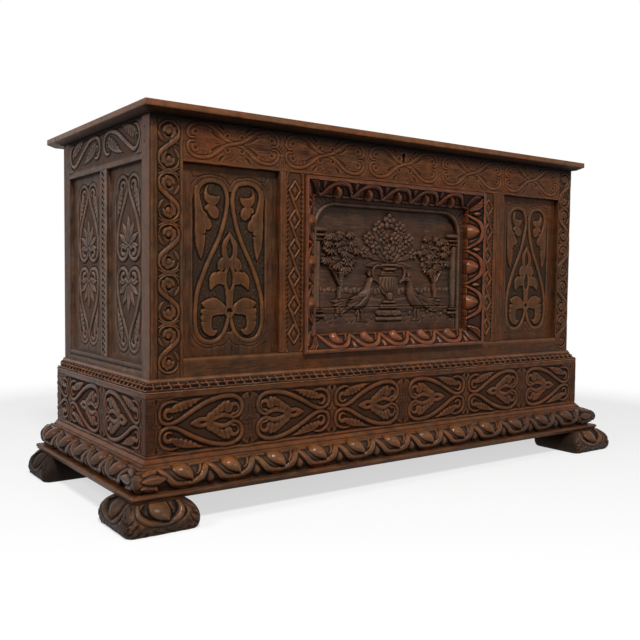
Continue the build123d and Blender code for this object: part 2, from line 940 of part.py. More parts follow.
def staple_solid():
    """A plate let into the lid, with an eye that hangs into the lock."""
    plate_x = (staple_x - staple_plate_l / 2, staple_x + staple_plate_l / 2)
    plate_y = (bolt_y - staple_w / 2, bolt_y + staple_w / 2)
    eye_low = bolt_z - bolt_h / 2 - 2 * bolt_fit - staple_wall
    body = slab(plate_x, plate_y, (lid_under, lid_under + staple_t))
    body += slab((staple_x, staple_x + staple_t), plate_y, (eye_low, lid_under))
    eye_y = (plate_y[0] + staple_wall, plate_y[1] - staple_wall)
    eye_z = (eye_low + staple_wall, bolt_z + bolt_h / 2 + 2 * bolt_fit)
    return body - slab((staple_x, staple_x + staple_t), eye_y, eye_z)


lock_case = lock_case_solid()
lock_bolt = bolt_solid()
lid_staple = staple_solid()
staple_pocket = slab(
    (staple_x - staple_plate_l / 2, staple_x + staple_plate_l / 2),
    (bolt_y - staple_w / 2, bolt_y + staple_w / 2),
    (lid_under, lid_under + staple_t),
)


# Nails of the plinth: through the frieze boards into the posts and rails
def board_nail(start, direction):
    """A nail whose head is flush with the face that it starts from."""
    return rod(nail_head_r, start, direction, nail_head_h) + rod(
        nail_r, start, direction, nail_len
    )


nail_z = frieze_top - nail_below_waist
nail_pitch = (carcass_w - 2 * frieze_nail_inset) / frieze_nail_spaces
front_nail_x = [
    left + frieze_nail_inset + count * nail_pitch for count in range(frieze_nail_spaces + 1)
]
plinth_nails = [
    board_nail((x, front - frieze_t, nail_z), (0, 1, 0)) for x in front_nail_x
]
side_nail_y = (
    front + frieze_side_nail_inset,
    (front + back) / 2,
    back - frieze_side_nail_inset,
)
for y in side_nail_y:
    plinth_nails.append(board_nail((left - frieze_t, y, nail_z), (1, 0, 0)))
    plinth_nails.append(board_nail((right + frieze_t, y, nail_z), (-1, 0, 0)))


# Cut the joints into the pieces that hold them, then write every sub-part
post_z = (base_top, carcass_top)
front_post_y = (front, front + post_front_d)
back_post_y = (back - post_back_d, back)
post_sizes = {
    "post_front_left": ((left, left + post_left_w), front_post_y),
    "post_front_right": ((right - post_right_w, right), front_post_y),
    "post_back_left": ((left, left + post_back_w), back_post_y),
    "post_back_right": ((right - post_back_w, right), back_post_y),
}
post_cuts = {
    "post_front_left": sockets_front + sockets_left,
    "post_front_right": sockets_front + sockets_right,
    "post_back_left": sockets_back + sockets_left,
    "post_back_right": sockets_back + sockets_right,
}
for name, (x, y) in post_sizes.items():
    post = cut_all(slab(x, y, post_z), post_cuts[name])
    save(name, cut_all(post, plinth_nails))

rail_front_top = place_front * front_frame["top"]
rail_front_bottom = cut_all(place_front * front_frame["bottom"], plinth_nails)
save("rail_front_top", rail_front_top - keyhole((front, front + front_t)))
save("rail_front_bottom", rail_front_bottom - floor_housing[0])
for name, upright in zip(("left", "right"), front_frame["muntins"]):
    save("muntin_front_" + name, place_front * upright)
for name, flat_panel in zip(("left", "right"), front_frame["panels"]):
    save("panel_front_" + name, place_front * flat_panel)

side_order = {"left": ("back", "front"), "right": ("front", "back")}
for side, place, frame in (
    ("left", place_left, left_frame),
    ("right", place_right, right_frame),
):
    save(f"rail_{side}_top", place * frame["top"])
    save(f"rail_{side}_bottom", cut_all(place * frame["bottom"], plinth_nails))
    save(f"muntin_{side}", place * frame["muntins"][0])
    for name, flat_panel in zip(side_order[side], frame["panels"]):
        save(f"panel_{side}_{name}", place * flat_panel)

back_bottom = place_back * back_frame["bottom"]
save("rails_back", place_back * back_frame["top"], back_bottom - floor_housing[1])
save("muntins_back", *placed(place_back, back_frame["muntins"]))
save("panels_back", *placed(place_back, back_frame["panels"]))
save("plinth_board_back", plinth_back)

save("arch_board", arch_board)
save("relief_planks", relief_upper, relief_lower)
for side, piece in centre.items():
    save("frame_moulding_" + side, piece)

for side in ("front", "left", "right"):
    save("waist_moulding_" + side, waist[side])
    save("frieze_board_" + side, cut_all(frieze[side], plinth_nails))
    save("torus_moulding_" + side, torus[side])
    save("base_board_" + side, base[side])
save("base_board_back", base_back)

save("foot_front_left", foot_front_left)
save("foot_front_right", mirror(foot_front_left, about=Plane.YZ))
save("foot_back_left", foot_back_left)
save("foot_back_right", mirror(foot_back_left, about=Plane.YZ))
save("floor_boards", *floor_boards)

lid_boards = [cut_all(board, hinge_cuts) for board in (lid_board_front, lid_board_back)]
save("lid_boards", lid_boards[0] - staple_pocket, lid_boards[1])
save("lid_cleats", cleat_left, cleat_right)
save("lid_back_strip", cut_all(back_strip, hinge_cuts))
save("hinge_batten", hinge_batten)
save("hinge_straps_lid", *lid_straps, *lid_hinge_nails)
save("hinge_straps_fixed", *fixed_straps, *fixed_hinge_nails)
save("hinge_pins", *hinge_pins)

save("lock_case", lock_case)
save("lock_bolt", lock_bolt)
save("lid_staple", lid_staple)

all_pegs = placed(place_front, front_frame["pegs"])
all_pegs += placed(place_left, left_frame["pegs"])
all_pegs += placed(place_right, right_frame["pegs"])
all_pegs += placed(place_back, back_frame["pegs"])
save("joint_pegs", *all_pegs)
save("plinth_nails", *plinth_nails)
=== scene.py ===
import math

import bmesh
import bpy
import numpy as np
from mathutils import Matrix, Vector

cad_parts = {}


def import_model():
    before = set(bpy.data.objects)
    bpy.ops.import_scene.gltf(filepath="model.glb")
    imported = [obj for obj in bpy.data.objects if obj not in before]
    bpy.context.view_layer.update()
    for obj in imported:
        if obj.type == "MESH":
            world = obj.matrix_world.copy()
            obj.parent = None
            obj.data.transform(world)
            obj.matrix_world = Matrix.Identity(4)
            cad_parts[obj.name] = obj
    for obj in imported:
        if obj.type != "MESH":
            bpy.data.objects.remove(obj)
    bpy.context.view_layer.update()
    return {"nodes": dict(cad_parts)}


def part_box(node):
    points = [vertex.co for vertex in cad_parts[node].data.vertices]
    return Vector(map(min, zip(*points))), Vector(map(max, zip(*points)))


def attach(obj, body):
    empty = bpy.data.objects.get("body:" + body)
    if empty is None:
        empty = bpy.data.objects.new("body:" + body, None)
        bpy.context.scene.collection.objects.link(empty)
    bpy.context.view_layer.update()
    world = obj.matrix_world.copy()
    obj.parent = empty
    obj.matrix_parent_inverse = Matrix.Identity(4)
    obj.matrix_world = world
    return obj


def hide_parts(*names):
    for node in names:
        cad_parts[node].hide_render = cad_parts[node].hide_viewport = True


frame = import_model()

# A carved oak chest. Shapes are drawn in millimetres and written in metres.
# A carved face is a grid of heights: u runs along it, v across it, and a height above
# zero stands proud of the CAD face. Motifs are tapered strokes, (u, v, half width).

MM = 0.001
# How far apart the points of a carved face are, and half the width of a scored line.
FINE = 1.35
MEDIUM = 1.55
HAIR = 0.1


# ---------------------------------------------------------------- numbers and curves
def smooth(t):
    """A step from 0 to 1 with soft ends."""
    t = np.clip(t, 0.0, 1.0)
    return t * t * (3.0 - 2.0 * t)


def ticks(limits, step):
    """Evenly spaced places from one limit to the other, about a step apart."""
    count = max(2, int(round((limits[1] - limits[0]) / step)) + 1)
    return np.linspace(limits[0], limits[1], count)


def smooth_noise(us, vs, size, seed):
    """Smooth random heights from -1 to 1 on a grid, with lumps of about one size."""
    rng = np.random.default_rng(seed)
    along = (us - us[0]) / size
    across = (vs - vs[0]) / size
    lattice = rng.uniform(-1, 1, (int(across[-1]) + 2, int(along[-1]) + 2))
    col = along.astype(int)
    row = across.astype(int)
    blend_u = smooth(along - col)[None, :]
    blend_v = smooth(across - row)[:, None]

    def blended(rows):
        """The lattice along some of its rows, blended between its columns."""
        left = lattice[np.ix_(rows, col)]
        right = lattice[np.ix_(rows, col + 1)]
        return left * (1 - blend_u) + right * blend_u

    return blended(row) * (1 - blend_v) + blended(row + 1) * blend_v


def blurred(values, radius):
    """A box blur by whole cells, done twice."""
    width = 2 * radius + 1
    for _ in range(2):
        for axis in (0, 1):
            pad = [(0, 0), (0, 0)]
            pad[axis] = (radius + 1, radius)
            total = np.cumsum(np.pad(values, pad, mode="edge"), axis)
            count = values.shape[axis]
            upper = np.take(total, np.arange(width, width + count), axis)
            lower = np.take(total, np.arange(count), axis)
            values = (upper - lower) / width
    return values


def arch_over(t):
    """A half circle, one high and from -1 to 1 wide, and nothing beside it."""
    return np.sqrt(np.clip(1 - t**2, 0, 1))


# ---------------------------------------------------------------- strokes
def curve(*points, steps=5):
    """A smooth line through (u, v, half width) points, as a Catmull-Rom spline."""
    p = np.array(points, float)
    p = np.vstack([2 * p[0] - p[1], p, 2 * p[-1] - p[-2]])
    t = np.linspace(0, 1, steps, endpoint=False)[:, None]
    pieces = []
    for a, b, c, d in zip(p[:-3], p[1:-2], p[2:-1], p[3:]):
        linear_part = (c - a) * t
        square_part = (2 * a - 5 * b + 4 * c - d) * t**2
        cube_part = (3 * b - a - 3 * c + d) * t**3
        pieces.append(0.5 * (2 * b + linear_part + square_part + cube_part))
    stroke = np.vstack(pieces + [p[-2][None]])
    stroke[:, 2] = np.maximum(stroke[:, 2], HAIR)
    return stroke


def line(*points):
    """A straight-sided stroke through (u, v, half width) points."""
    return np.array(points, float)


def turned_curve(*arm):
    """A smooth line through an arm's points, which start past its middle, and through the
    same points turned half round the origin."""
    return curve(*[(-u, -v, half) for u, v, half in reversed(arm)], *arm)


def groove(*points):
    """A smooth hair line through (u, v) points."""
    return curve(*[(u, v, HAIR) for u, v in points])


def score(*points):
    """A straight-sided hair line through (u, v) points."""
    return line(*[(u, v, HAIR) for u, v in points])


def level(v, ends, half):
    """A stroke along u from one end to the other, at one v."""
    return line((ends[0], v, half), (ends[1], v, half))


def upright(u, ends, half):
    """A stroke along v from one end to the other, at one u."""
    return line((u, ends[0], half), (u, ends[1], half))


def disc(u, v, radius):
    """A round spot, as a stroke of almost no length."""
    return line((u, v, radius), (u + 0.01, v, radius))


def arc(centre, radius, start, end, half=(HAIR, HAIR), steps=10):
    """A stroke along a circle, between two angles in degrees."""
    angles = np.radians(np.linspace(start, end, steps))
    halves = np.interp(np.linspace(0, 1, steps), np.linspace(0, 1, len(half)), half)
    u = centre[0] + radius * np.cos(angles)
    v = centre[1] + radius * np.sin(angles)
    return np.stack([u, v, halves], -1)


def blade(u, v, angle, length, width, bend=0.0):
    """A leaf that grows from a point at an angle in degrees, and bends to its left."""
    t = np.linspace(0, 1, 7)
    turn = math.radians(angle)
    along = length * t
    aside = bend * t**2
    us = u + along * math.cos(turn) - aside * math.sin(turn)
    vs = v + along * math.sin(turn) + aside * math.cos(turn)
    return np.stack([us, vs, width * np.sin(math.pi * (0.06 + 0.9 * t)) + 0.3], -1)


def vein(stroke):
    """The hair line along the middle of a stroke."""
    return stroke * (1, 1, 0) + (0, 0, HAIR)


def mirror_u(stroke):
    """The stroke on the other side of the motif's upright axis."""
    return stroke * (-1, 1, 1)


def mirror_v(stroke):
    """The stroke on the other side of the motif's level axis."""
    return stroke * (1, -1, 1)


def both(strokes, mirror=mirror_u):
    """The strokes and their mirror images."""
    return list(strokes) + [mirror(stroke) for stroke in strokes]


def nearest(us, vs, strokes):
    """Signed distance to the union of strokes, and the half width where it is nearest."""
    far = np.full(us.shape, 1e9)
    half = np.ones(us.shape)
    for stroke in strokes:
        for (u0, v0, w0), (u1, v1, w1) in zip(stroke[:-1], stroke[1:]):
            du = u1 - u0
            dv = v1 - v0
            t = np.clip(((us - u0) * du + (vs - v0) * dv) / max(du * du + dv * dv, 1e-9), 0, 1)
            width = w0 + (w1 - w0) * t
            distance = np.hypot(us - u0 - t * du, vs - v0 - t * dv) - width
            closer = distance < far
            far = np.where(closer, distance, far)
            half = np.where(closer, width, half)
    return far, half


# Which way a motif is turned over, as signs along and across it.
OVER_U = (-1, 1)
OVER_V = (1, -1)
OVER_BOTH = (-1, -1)


class Place:
    """Where a motif goes on a face.

    along and across stretch it, and mirror it where they are below zero. grow makes it
    larger with its lines, and swap turns its u axis into the face's v axis.
    """

    def __init__(self, u, v, along=1, across=1, swap=False, grow=1.0):
        self.origin = np.array((u, v))
        self.stretch = np.array((along, across)) * grow
        self.swap = swap
        self.grow = grow

    def __call__(self, stroke):
        flat = stroke[:, :2] * self.stretch
        if self.swap:
            flat = flat[:, ::-1]
        return np.column_stack([flat + self.origin, stroke[:, 2] * self.grow])

    def with_mirrors(self, *turns):
        """This place, and the same place with the motif turned over in some ways."""
        places = [self]
        for turn in turns:
            other = Place(*self.origin, swap=self.swap, grow=self.grow)
            other.stretch = self.stretch * turn
            places.append(other)
        return places


HERE = Place(0, 0)


# ---------------------------------------------------------------- carving
# The unevenness of a surface cut by hand: height, size of its lumps, and shift of the seed.
UNEVEN = ((0.2, 45.0, 2), (0.09, 6.5, 3), (0.05, 2.8, 7))


class Face:
    """A face that is carved: its grid, its height, and where it is sunk, where it is polished and lightened
    with painted highlight, and where it is darkened, mostly as painted shade.
    """

    def __init__(self, u_span, v_span, step, seed, hand=0.5):
        self.us = ticks(u_span, step)
        self.vs = ticks(v_span, step)
        self.seed = seed
        u, v = np.meshgrid(self.us, self.vs)
        self.u = u + hand * self.noise(26.0, 0)
        self.v = v + hand * self.noise(23.0, 1)
        self.height = np.zeros_like(u)
        for amount, size, shift in UNEVEN:
            self.height += amount * self.noise(size, shift)
        self.ground = np.zeros_like(u)
        self.polish_and_highlight = np.zeros_like(u)
        self.darkening = np.zeros_like(u)

    def noise(self, size, shift, along=1.0):
        """Smooth noise over the face, with its lumps drawn out along u."""
        return smooth_noise(self.us / along, self.vs, size, self.seed + shift)

    def ends_u(self, inset=0.0):
        """The face's two ends along u."""
        return self.us[0] + inset, self.us[-1] - inset

    def from_side(self, side):
        """The distance of each point from one side of the face: l, r, b or t."""
        if side == "l":
            return self.u - self.us[0]
        if side == "r":
            return self.us[-1] - self.u
        if side == "b":
            return self.v - self.vs[0]
        return self.vs[-1] - self.v

    def darken_towards(self, side, reach, amount):
        """A darker band along one side of the face; where the lid overhangs that side, it is painted shade.
        """
        self.darkening = np.maximum(self.darkening, amount * smooth(1.4 - self.from_side(side) / reach))

    def fade(self, share, height):
        """Take the carving to one height where share is 1, and leave it where share is 0."""
        self.height = self.height * (1 - share) + height * share

    def window(self, strokes, margin):
        """The part of the grid that some strokes reach."""
        every = np.vstack(strokes)
        reach = every[:, 2:] + margin
        low = (every[:, :2] - reach).min(0)
        high = (every[:, :2] + reach).max(0)
        cols = slice(*np.searchsorted(self.us, (low[0], high[0])))
        rows = slice(*np.searchsorted(self.vs, (low[1], high[1])))
        if cols.stop - cols.start < 2 or rows.stop - rows.start < 2:
            return None
        return rows, cols

    def distance(self, put, strokes, holes, margin):
        """Signed distance to placed strokes less their holes, in their window."""
        placed = [put(stroke) for stroke in strokes]
        window = self.window(placed, margin)
        if window is None:
            return None
        far, half = nearest(self.u[window], self.v[window], placed)
        if holes:
            hole, _ = nearest(self.u[window], self.v[window], [put(h) for h in holes])
            far = np.maximum(far, -hole)
        return window, far, half

    def stamp(
        self, put, strokes, holes=(), top=0.0, dome=0.0, wall=1.5, moat=0.6, moat_w=1.0,
        rim=None, shine=0.0,
    ):
        """Raise a shape to a level.

        dome is how much higher its middle is, wall is the width of its sides, and moat
        the depth of the cut round it. rim is the inset, depth and width of a line inside
        its edge, and shine is how well it is polished, which also lightens it as a painted
        highlight.
        """
        found = self.distance(put, strokes, holes, 3 * moat_w + wall)
        if found is None:
            return
        window, far, half = found
        inside = smooth(0.5 - far / wall)
        crown = dome * (1 - (1 - np.clip(-far / half, 0, 1)) ** 2)
        cut = moat * np.exp(-(((far - 0.7 * moat_w) / moat_w) ** 2))
        old = self.height[window]
        new = (old - cut) * (1 - inside) + (top + crown) * inside
        if rim:
            inset, depth, width = rim
            new -= depth * np.exp(-(((far + inset) / width) ** 2))
        self.height[window] = new
        self.ground[window] *= 1 - inside
        self.polish_and_highlight[window] = self.polish_and_highlight[window] * (1 - inside) + shine * inside

    def cut(self, put, strokes, depth, width):
        """Incised lines."""
        found = self.distance(put, strokes, (), 3 * width)
        if found is None:
            return
        window, far, _ = found
        self.height[window] -= depth * np.exp(-((np.maximum(far, 0) / width) ** 2))

    def sink(self, put, strokes, depth, wall=2.5):
        """Lower the ground inside a shape."""
        found = self.distance(put, strokes, (), wall)
        if found is None:
            return
        window, far, _ = found
        inside = smooth(0.5 - far / wall)
        old = self.height[window]
        self.height[window] = old * (1 - inside) + (old - depth) * inside
        self.ground[window] = np.maximum(self.ground[window], inside)

    def round_border(self, radius, edges="lrbt"):
        """Wear the edges of the face round: l, r, b and t are its four sides."""
        drop = np.zeros_like(self.height)
        worn = radius * (1 + 0.35 * self.noise(38.0, 4))
        for key in edges:
            gap = np.clip(1 - np.maximum(self.from_side(key), 0) / worn, 0, 1)
            drop = np.maximum(drop, radius * (1 - np.sqrt(1 - gap**2 * 0.999)))
        self.height -= drop

    def dull_edge(self, v, depth, reach):
        """Wear down the edge where a moulding's section bends."""
        self.height -= depth * np.clip(1 - np.abs(self.v - v) / reach, 0, 1) ** 2

    def stipple(self, amount):
        """Punched and scraped texture on the sunk ground."""
        rough = self.noise(3.2, 5) + 0.6 * self.noise(6.5, 6)
        self.height += amount * rough * self.ground

    def tones(self):
        """Where grime and painted shade darken the hollows, and where edges are worn and lightened as a
        painted highlight, from the shape of the carving.
        """
        near = self.height - blurred(self.height, 2)
        wide = self.height - blurred(self.height, 5)
        cavity = 0.68 * np.clip(-near / 0.55 - 0.15, 0, 1)
        cavity += 0.25 * np.clip(-wide / 2.2 - 0.15, 0, 1)
        wear_and_highlight = 0.7 * np.clip(near / 0.4 - 0.3, 0, 1) + 0.08 * np.clip(wide / 2.4, 0, 1)
        return {
            "cavity": np.clip(cavity + self.darkening, 0, 1),
            "wear_and_highlight": np.clip(wear_and_highlight + 0.75 * self.polish_and_highlight, 0, 1) * (1 - self.darkening),
            "ground": np.clip(self.ground, 0, 1),
        }


# ---------------------------------------------------------------- the CAD frame
X, Y, Z = range(3)


def node_box(name):
    """Lowest and highest corner of a CAD node, in millimetres."""
    low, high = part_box(name)
    return np.array(low) / MM, np.array(high) / MM


def span(node, axis):
    """The limits of a node's box on one axis."""
    low, high = node_box(node)
    return low[axis], high[axis]


FRONT_Y = span("rail_front_top", Y)[0]
LEFT_X = span("post_front_left", X)[0]
RIGHT_X = span("post_front_right", X)[1]
TOP_Z = span("rail_front_top", Z)[1]
RAIL_LOW = span("rail_front_top", Z)[0]
SILL = span("rail_front_bottom", Z)[1]
POST_LEFT = span("post_front_left", X)
POST_RIGHT = span("post_front_right", X)
# How much of a panel stands in its groove, and how thick a skin of it is carved.
PANEL_LIP = 9.5
PANEL_SKIN = 2.9


class Spot:
    """Turns (u, v, out) on a face into the chest's axes."""

    def __init__(self, origin, along, across, outward):
        self.origin = np.array(origin, float)
        self.axes = np.array([along, across, outward], float)
        self.flip = np.linalg.det(self.axes) < 0

    def __call__(self, u, v, out):
        flat = np.stack([np.ravel(u), np.ravel(v), np.ravel(out)], -1)
        return self.origin + flat @ self.axes


def front_spot(y):
    """A face that looks to the front, with u along X and v up."""
    return Spot((0, y, 0), (1, 0, 0), (0, 0, 1), (0, -1, 0))


def side_spot(x):
    """A face that looks outwards at the left or right, with u along Y and v up."""
    return Spot((x, 0, 0), (0, 1, 0), (0, 0, 1), (math.copysign(1, x), 0, 0))


def box_face(node, axis, step, seed, u_span=None, v_span=None):
    """A face over a node's box, with u along an axis and v up, or over limits given for them."""
    return Face(u_span or span(node, axis), v_span or span(node, Z), step, seed)


def panel_face(node, axis, step, seed):
    """A face over the part of a panel that is seen between its grooves."""
    u_span, v_span = (
        (low + PANEL_LIP, high - PANEL_LIP) for low, high in (span(node, axis), span(node, Z))
    )
    return Face(u_span, v_span, step, seed)


# ---------------------------------------------------------------- meshes
TONES = ("cavity", "wear_and_highlight", "ground")
SHARP_FROM = math.radians(52)


def numbered(grid):
    """The numbers of the points of a grid, row by row."""
    return np.arange(grid.size).reshape(grid.shape)


def quads_of(index, flip=False):
    """The quads between the points whose numbers stand in a grid."""
    corners = [index[:-1, :-1], index[:-1, 1:], index[1:, 1:], index[1:, :-1]]
    if flip:
        corners.reverse()
    return np.stack(corners, -1).reshape(-1, 4)


def build_piece(name, points, faces, tones, material, body, slot, *nodes):
    """A mesh object in millimetres that rides on a body and stands for CAD nodes."""
    mesh = bpy.data.meshes.new(name)
    mesh.from_pydata((points * MM).tolist(), [], faces)
    for key in TONES:
        values = np.zeros(len(points), np.float32)
        if key in tones:
            values[:] = np.ravel(tones[key])
        mesh.attributes.new(key, "FLOAT", "POINT").data.foreach_set("value", values)
    mesh.materials.append(material)
    mesh.shade_smooth()
    mesh.set_sharp_from_angle(angle=SHARP_FROM)
    mesh.validate()
    piece = bpy.data.objects.new(name, mesh)
    bpy.context.scene.collection.objects.link(piece)
    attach(piece, body)
    if nodes:
        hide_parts(*nodes)
    return piece


def cad_mesh(node):
    """A welded bmesh copy of a CAD node."""
    mesh = bmesh.new()
    mesh.from_mesh(frame["nodes"][node].data)
    bmesh.ops.remove_doubles(mesh, verts=mesh.verts, dist=1e-6)
    return mesh


def cut_flat(solid, place, normal, **settings):
    """New edges where a plane crosses a bmesh. The place is in millimetres."""
    geometry = solid.verts[:] + solid.edges[:] + solid.faces[:]
    place = Vector(np.multiply(place, MM))
    bmesh.ops.bisect_plane(
        solid, geom=geometry, plane_co=place, plane_no=Vector(normal), **settings
    )


def taken_apart(solid):
    """The points, in millimetres, and the faces of a bmesh that is no longer needed."""
    solid.verts.index_update()
    points = np.array([vert.co for vert in solid.verts]) / MM
    faces = [[vert.index for vert in polygon.verts] for polygon in solid.faces]
    solid.free()
    return points, faces


def padded(values, edge):
    """A grid with one more ring round it, at one value or copied from its edge."""
    if edge is None:
        return np.pad(values, 1, mode="edge")
    return np.pad(values, 1, mode="constant", constant_values=edge)


def carved_piece(node, spot, face, material, slot, skin=5.0, sheen_side_x=None):
    """The CAD piece with the skin of one face taken off and a carved face put there.

    The piece's side at the x given, if there is one, takes the worn colour all over as a painted sheen.
    """
    solid = cad_mesh(node)
    outward = spot.axes[2]
    cut_flat(solid, spot.origin - outward * skin, outward, clear_outer=True)
    bmesh.ops.dissolve_limit(
        solid, angle_limit=math.radians(1), verts=solid.verts, edges=solid.edges
    )
    rest, rest_faces = taken_apart(solid)
    cap, quads, tones = cap_mesh(spot, face, skin, len(rest))
    tones = {key: np.concatenate([np.zeros(len(rest)), values]) for key, values in tones.items()}
    points = np.vstack([rest, cap])
    # Painted sheen: that whole side of the piece takes the worn colour.
    if sheen_side_x is not None:
        tones["wear_and_highlight"][np.abs(points[:, 0] - sheen_side_x) < 0.2] = 0.62
    faces = rest_faces + quads
    return build_piece(node + "_carved", points, faces, tones, material, "carcass", slot, node)


def cap_mesh(spot, face, skin, start=0):
    """A carved face with walls round it that reach down by the skin's thickness."""
    u, v = np.meshgrid(face.us, face.vs)
    out = padded(face.height, -skin)
    points = spot(padded(u, None), padded(v, None), out)
    quads = quads_of(numbered(out), spot.flip) + start
    tones = {key: np.ravel(padded(values, 0.0)) for key, values in face.tones().items()}
    return points, quads.tolist(), tones


def resampled(section, places):
    """Points and outward normals of a section, (out, across), at distances along it."""
    section = np.array(section, float)
    runs = np.concatenate([[0], np.cumsum(np.hypot(*np.diff(section, axis=0).T))])
    out = np.interp(places, runs, section[:, 0])
    across = np.interp(places, runs, section[:, 1])
    slope = np.stack([np.gradient(out, places), np.gradient(across, places)], -1)
    slope /= np.linalg.norm(slope, axis=1)[:, None]
    return out, across, slope[:, 1], -slope[:, 0]


def section_length(section):
    """The length along a section."""
    return float(np.hypot(*np.diff(np.array(section, float), axis=0).T).sum())


def reach_out(out, across):
    """An outer mitre reaches as far as its section stands out."""
    return out


def reach_in(out, across):
    """An inner mitre falls back by as much as its section runs across."""
    return -across


# How far from a mitred end the carving is squeezed to fit it.
MITRE_ZONE = 45.0


def moulding(node, spot, section, behind, face, grow, ends, material, slot):
    """A carved section swept along u, with each end square or mitred.

    The section is given as (out, across) points. behind holds the points that close it at
    the back. grow says how far a mitred end reaches at a point of the section.
    """
    out, across, normal_out, normal_across = resampled(section, face.vs)
    out = out[:, None] + normal_out[:, None] * face.height
    across = across[:, None] + normal_across[:, None] * face.height
    rear = np.ones((1, len(face.us)))
    for rear_out, rear_across in behind:
        out = np.vstack([out, rear * rear_out])
        across = np.vstack([across, rear * rear_across])
    u = np.ones((len(out), 1)) * face.us[None, :]
    longest = max(grow(*np.array(point, float)) for point in section)
    short = longest - grow(out, across)
    if ends[0]:
        u += short * np.clip(1 - (u - face.us[0]) / MITRE_ZONE, 0, 1)
    if ends[1]:
        u -= short * np.clip(1 - (face.us[-1] - u) / MITRE_ZONE, 0, 1)
    points = spot(u, across, out)
    index = numbered(out)
    quads = quads_of(np.vstack([index, index[:1]]), spot.flip).tolist()
    first = index[:, 0].tolist()
    last = index[:, -1].tolist()
    if spot.flip:
        last.reverse()
    else:
        first.reverse()
    tones = {}
    for key, values in face.tones().items():
        tones[key] = np.vstack([values] + [0 * values[:1]] * len(behind))
    faces = quads + [first, last]
    return build_piece(node + "_carved", points, faces, tones, material, "carcass", slot, node)


# ---------------------------------------------------------------- materials
def linear(*srgb):
    """A colour in 0..255 sRGB as linear RGBA."""
    part = [c / 255 for c in srgb]
    flat = [c / 12.92 if c <= 0.04045 else ((c + 0.055) / 1.055) ** 2.4 for c in part]
    return (*flat, 1.0)


class Nodes:
    """Short calls that add and join nodes in one tree."""

    def __init__(self, tree):
        self.tree = tree

    def add(self, kind, inputs=None, **settings):
        """A node of one kind, with its inputs by name or number, and its settings."""
        node = self.tree.nodes.new("ShaderNode" + kind)
        for key, value in settings.items():
            setattr(node, key, value)
        for key, value in (inputs or {}).items():
            self.feed(node.inputs[key], value)
        return node

    def feed(self, socket, value):
        """Join an output to a socket, or set the socket to a value."""
        if isinstance(value, bpy.types.NodeSocket):
            self.tree.links.new(value, socket)
        else:
            socket.default_value = value

    def coordinates(self, scale):
        """Object coordinates, stretched by a scale on each axis."""
        place = self.add("TexCoord").outputs["Object"]
        return self.add("Mapping", {"Vector": place, "Scale": scale}).outputs["Vector"]

    def noise(self, vector, scale, detail=4.0, roughness=0.55, distortion=0.0):
        """Noise from 0 to 1."""
        inputs = {
            "Vector": vector, "Scale": scale, "Detail": detail, "Roughness": roughness,
            "Distortion": distortion,
        }
        return self.add("TexNoise", inputs).outputs["Fac"]

    def ramp(self, value, *stops):
        """A colour ramp through (place, colour) stops."""
        node = self.add("ValToRGB", {"Fac": value})
        elements = node.color_ramp.elements
        while len(elements) < len(stops):
            elements.new(0.5)
        for element, (place, colour) in zip(elements, stops):
            element.position = place
            element.color = colour
        return node.outputs["Color"]

    def span(self, value, low, high, to_low, to_high, **settings):
        """A value taken from one range to another, kept within it."""
        inputs = {
            "Value": value, "From Min": low, "From Max": high, "To Min": to_low,
            "To Max": to_high,
        }
        return self.add("MapRange", inputs, **settings).outputs["Result"]

    def mix(self, amount, first, second, blend="MIX"):
        """One colour laid over another."""
        inputs = {0: amount, 6: first, 7: second}
        return self.add("Mix", inputs, data_type="RGBA", blend_type=blend).outputs[2]

    def math(self, operation, first, second):
        """Two values put together by one operation."""
        return self.add("Math", {0: first, 1: second}, operation=operation).outputs[0]

    def plus(self, first, second):
        """A sum."""
        return self.math("ADD", first, second)

    def times(self, first, second):
        """A product."""
        return self.math("MULTIPLY", first, second)

    def bump(self, height, strength, distance):
        """A surface normal that follows a height."""
        inputs = {"Height": height, "Strength": strength, "Distance": distance}
        return self.add("Bump", inputs).outputs["Normal"]

    def attribute(self, name):
        """One of a mesh's own values."""
        return self.add("Attribute", attribute_name=name).outputs["Fac"]


def new_material(name):
    """A material, the short calls for its tree, and its shader's inputs."""
    material = bpy.data.materials.new(name)
    material.use_nodes = True
    tree = material.node_tree
    return material, Nodes(tree), tree.nodes["Principled BSDF"].inputs


class Wood:
    """The colours of one group of oak pieces, as sRGB values, how dull it is and its sheen."""

    def __init__(self, dark, middle, light, worn, ground, patch, dullness=0.5, sheen=0.06):
        self.dark = linear(*dark)
        self.middle = linear(*middle)
        self.light = linear(*light)
        self.worn = linear(*worn)
        self.ground = linear(*ground)
        self.patch = linear(*patch)
        self.dullness = dullness
        self.sheen = sheen
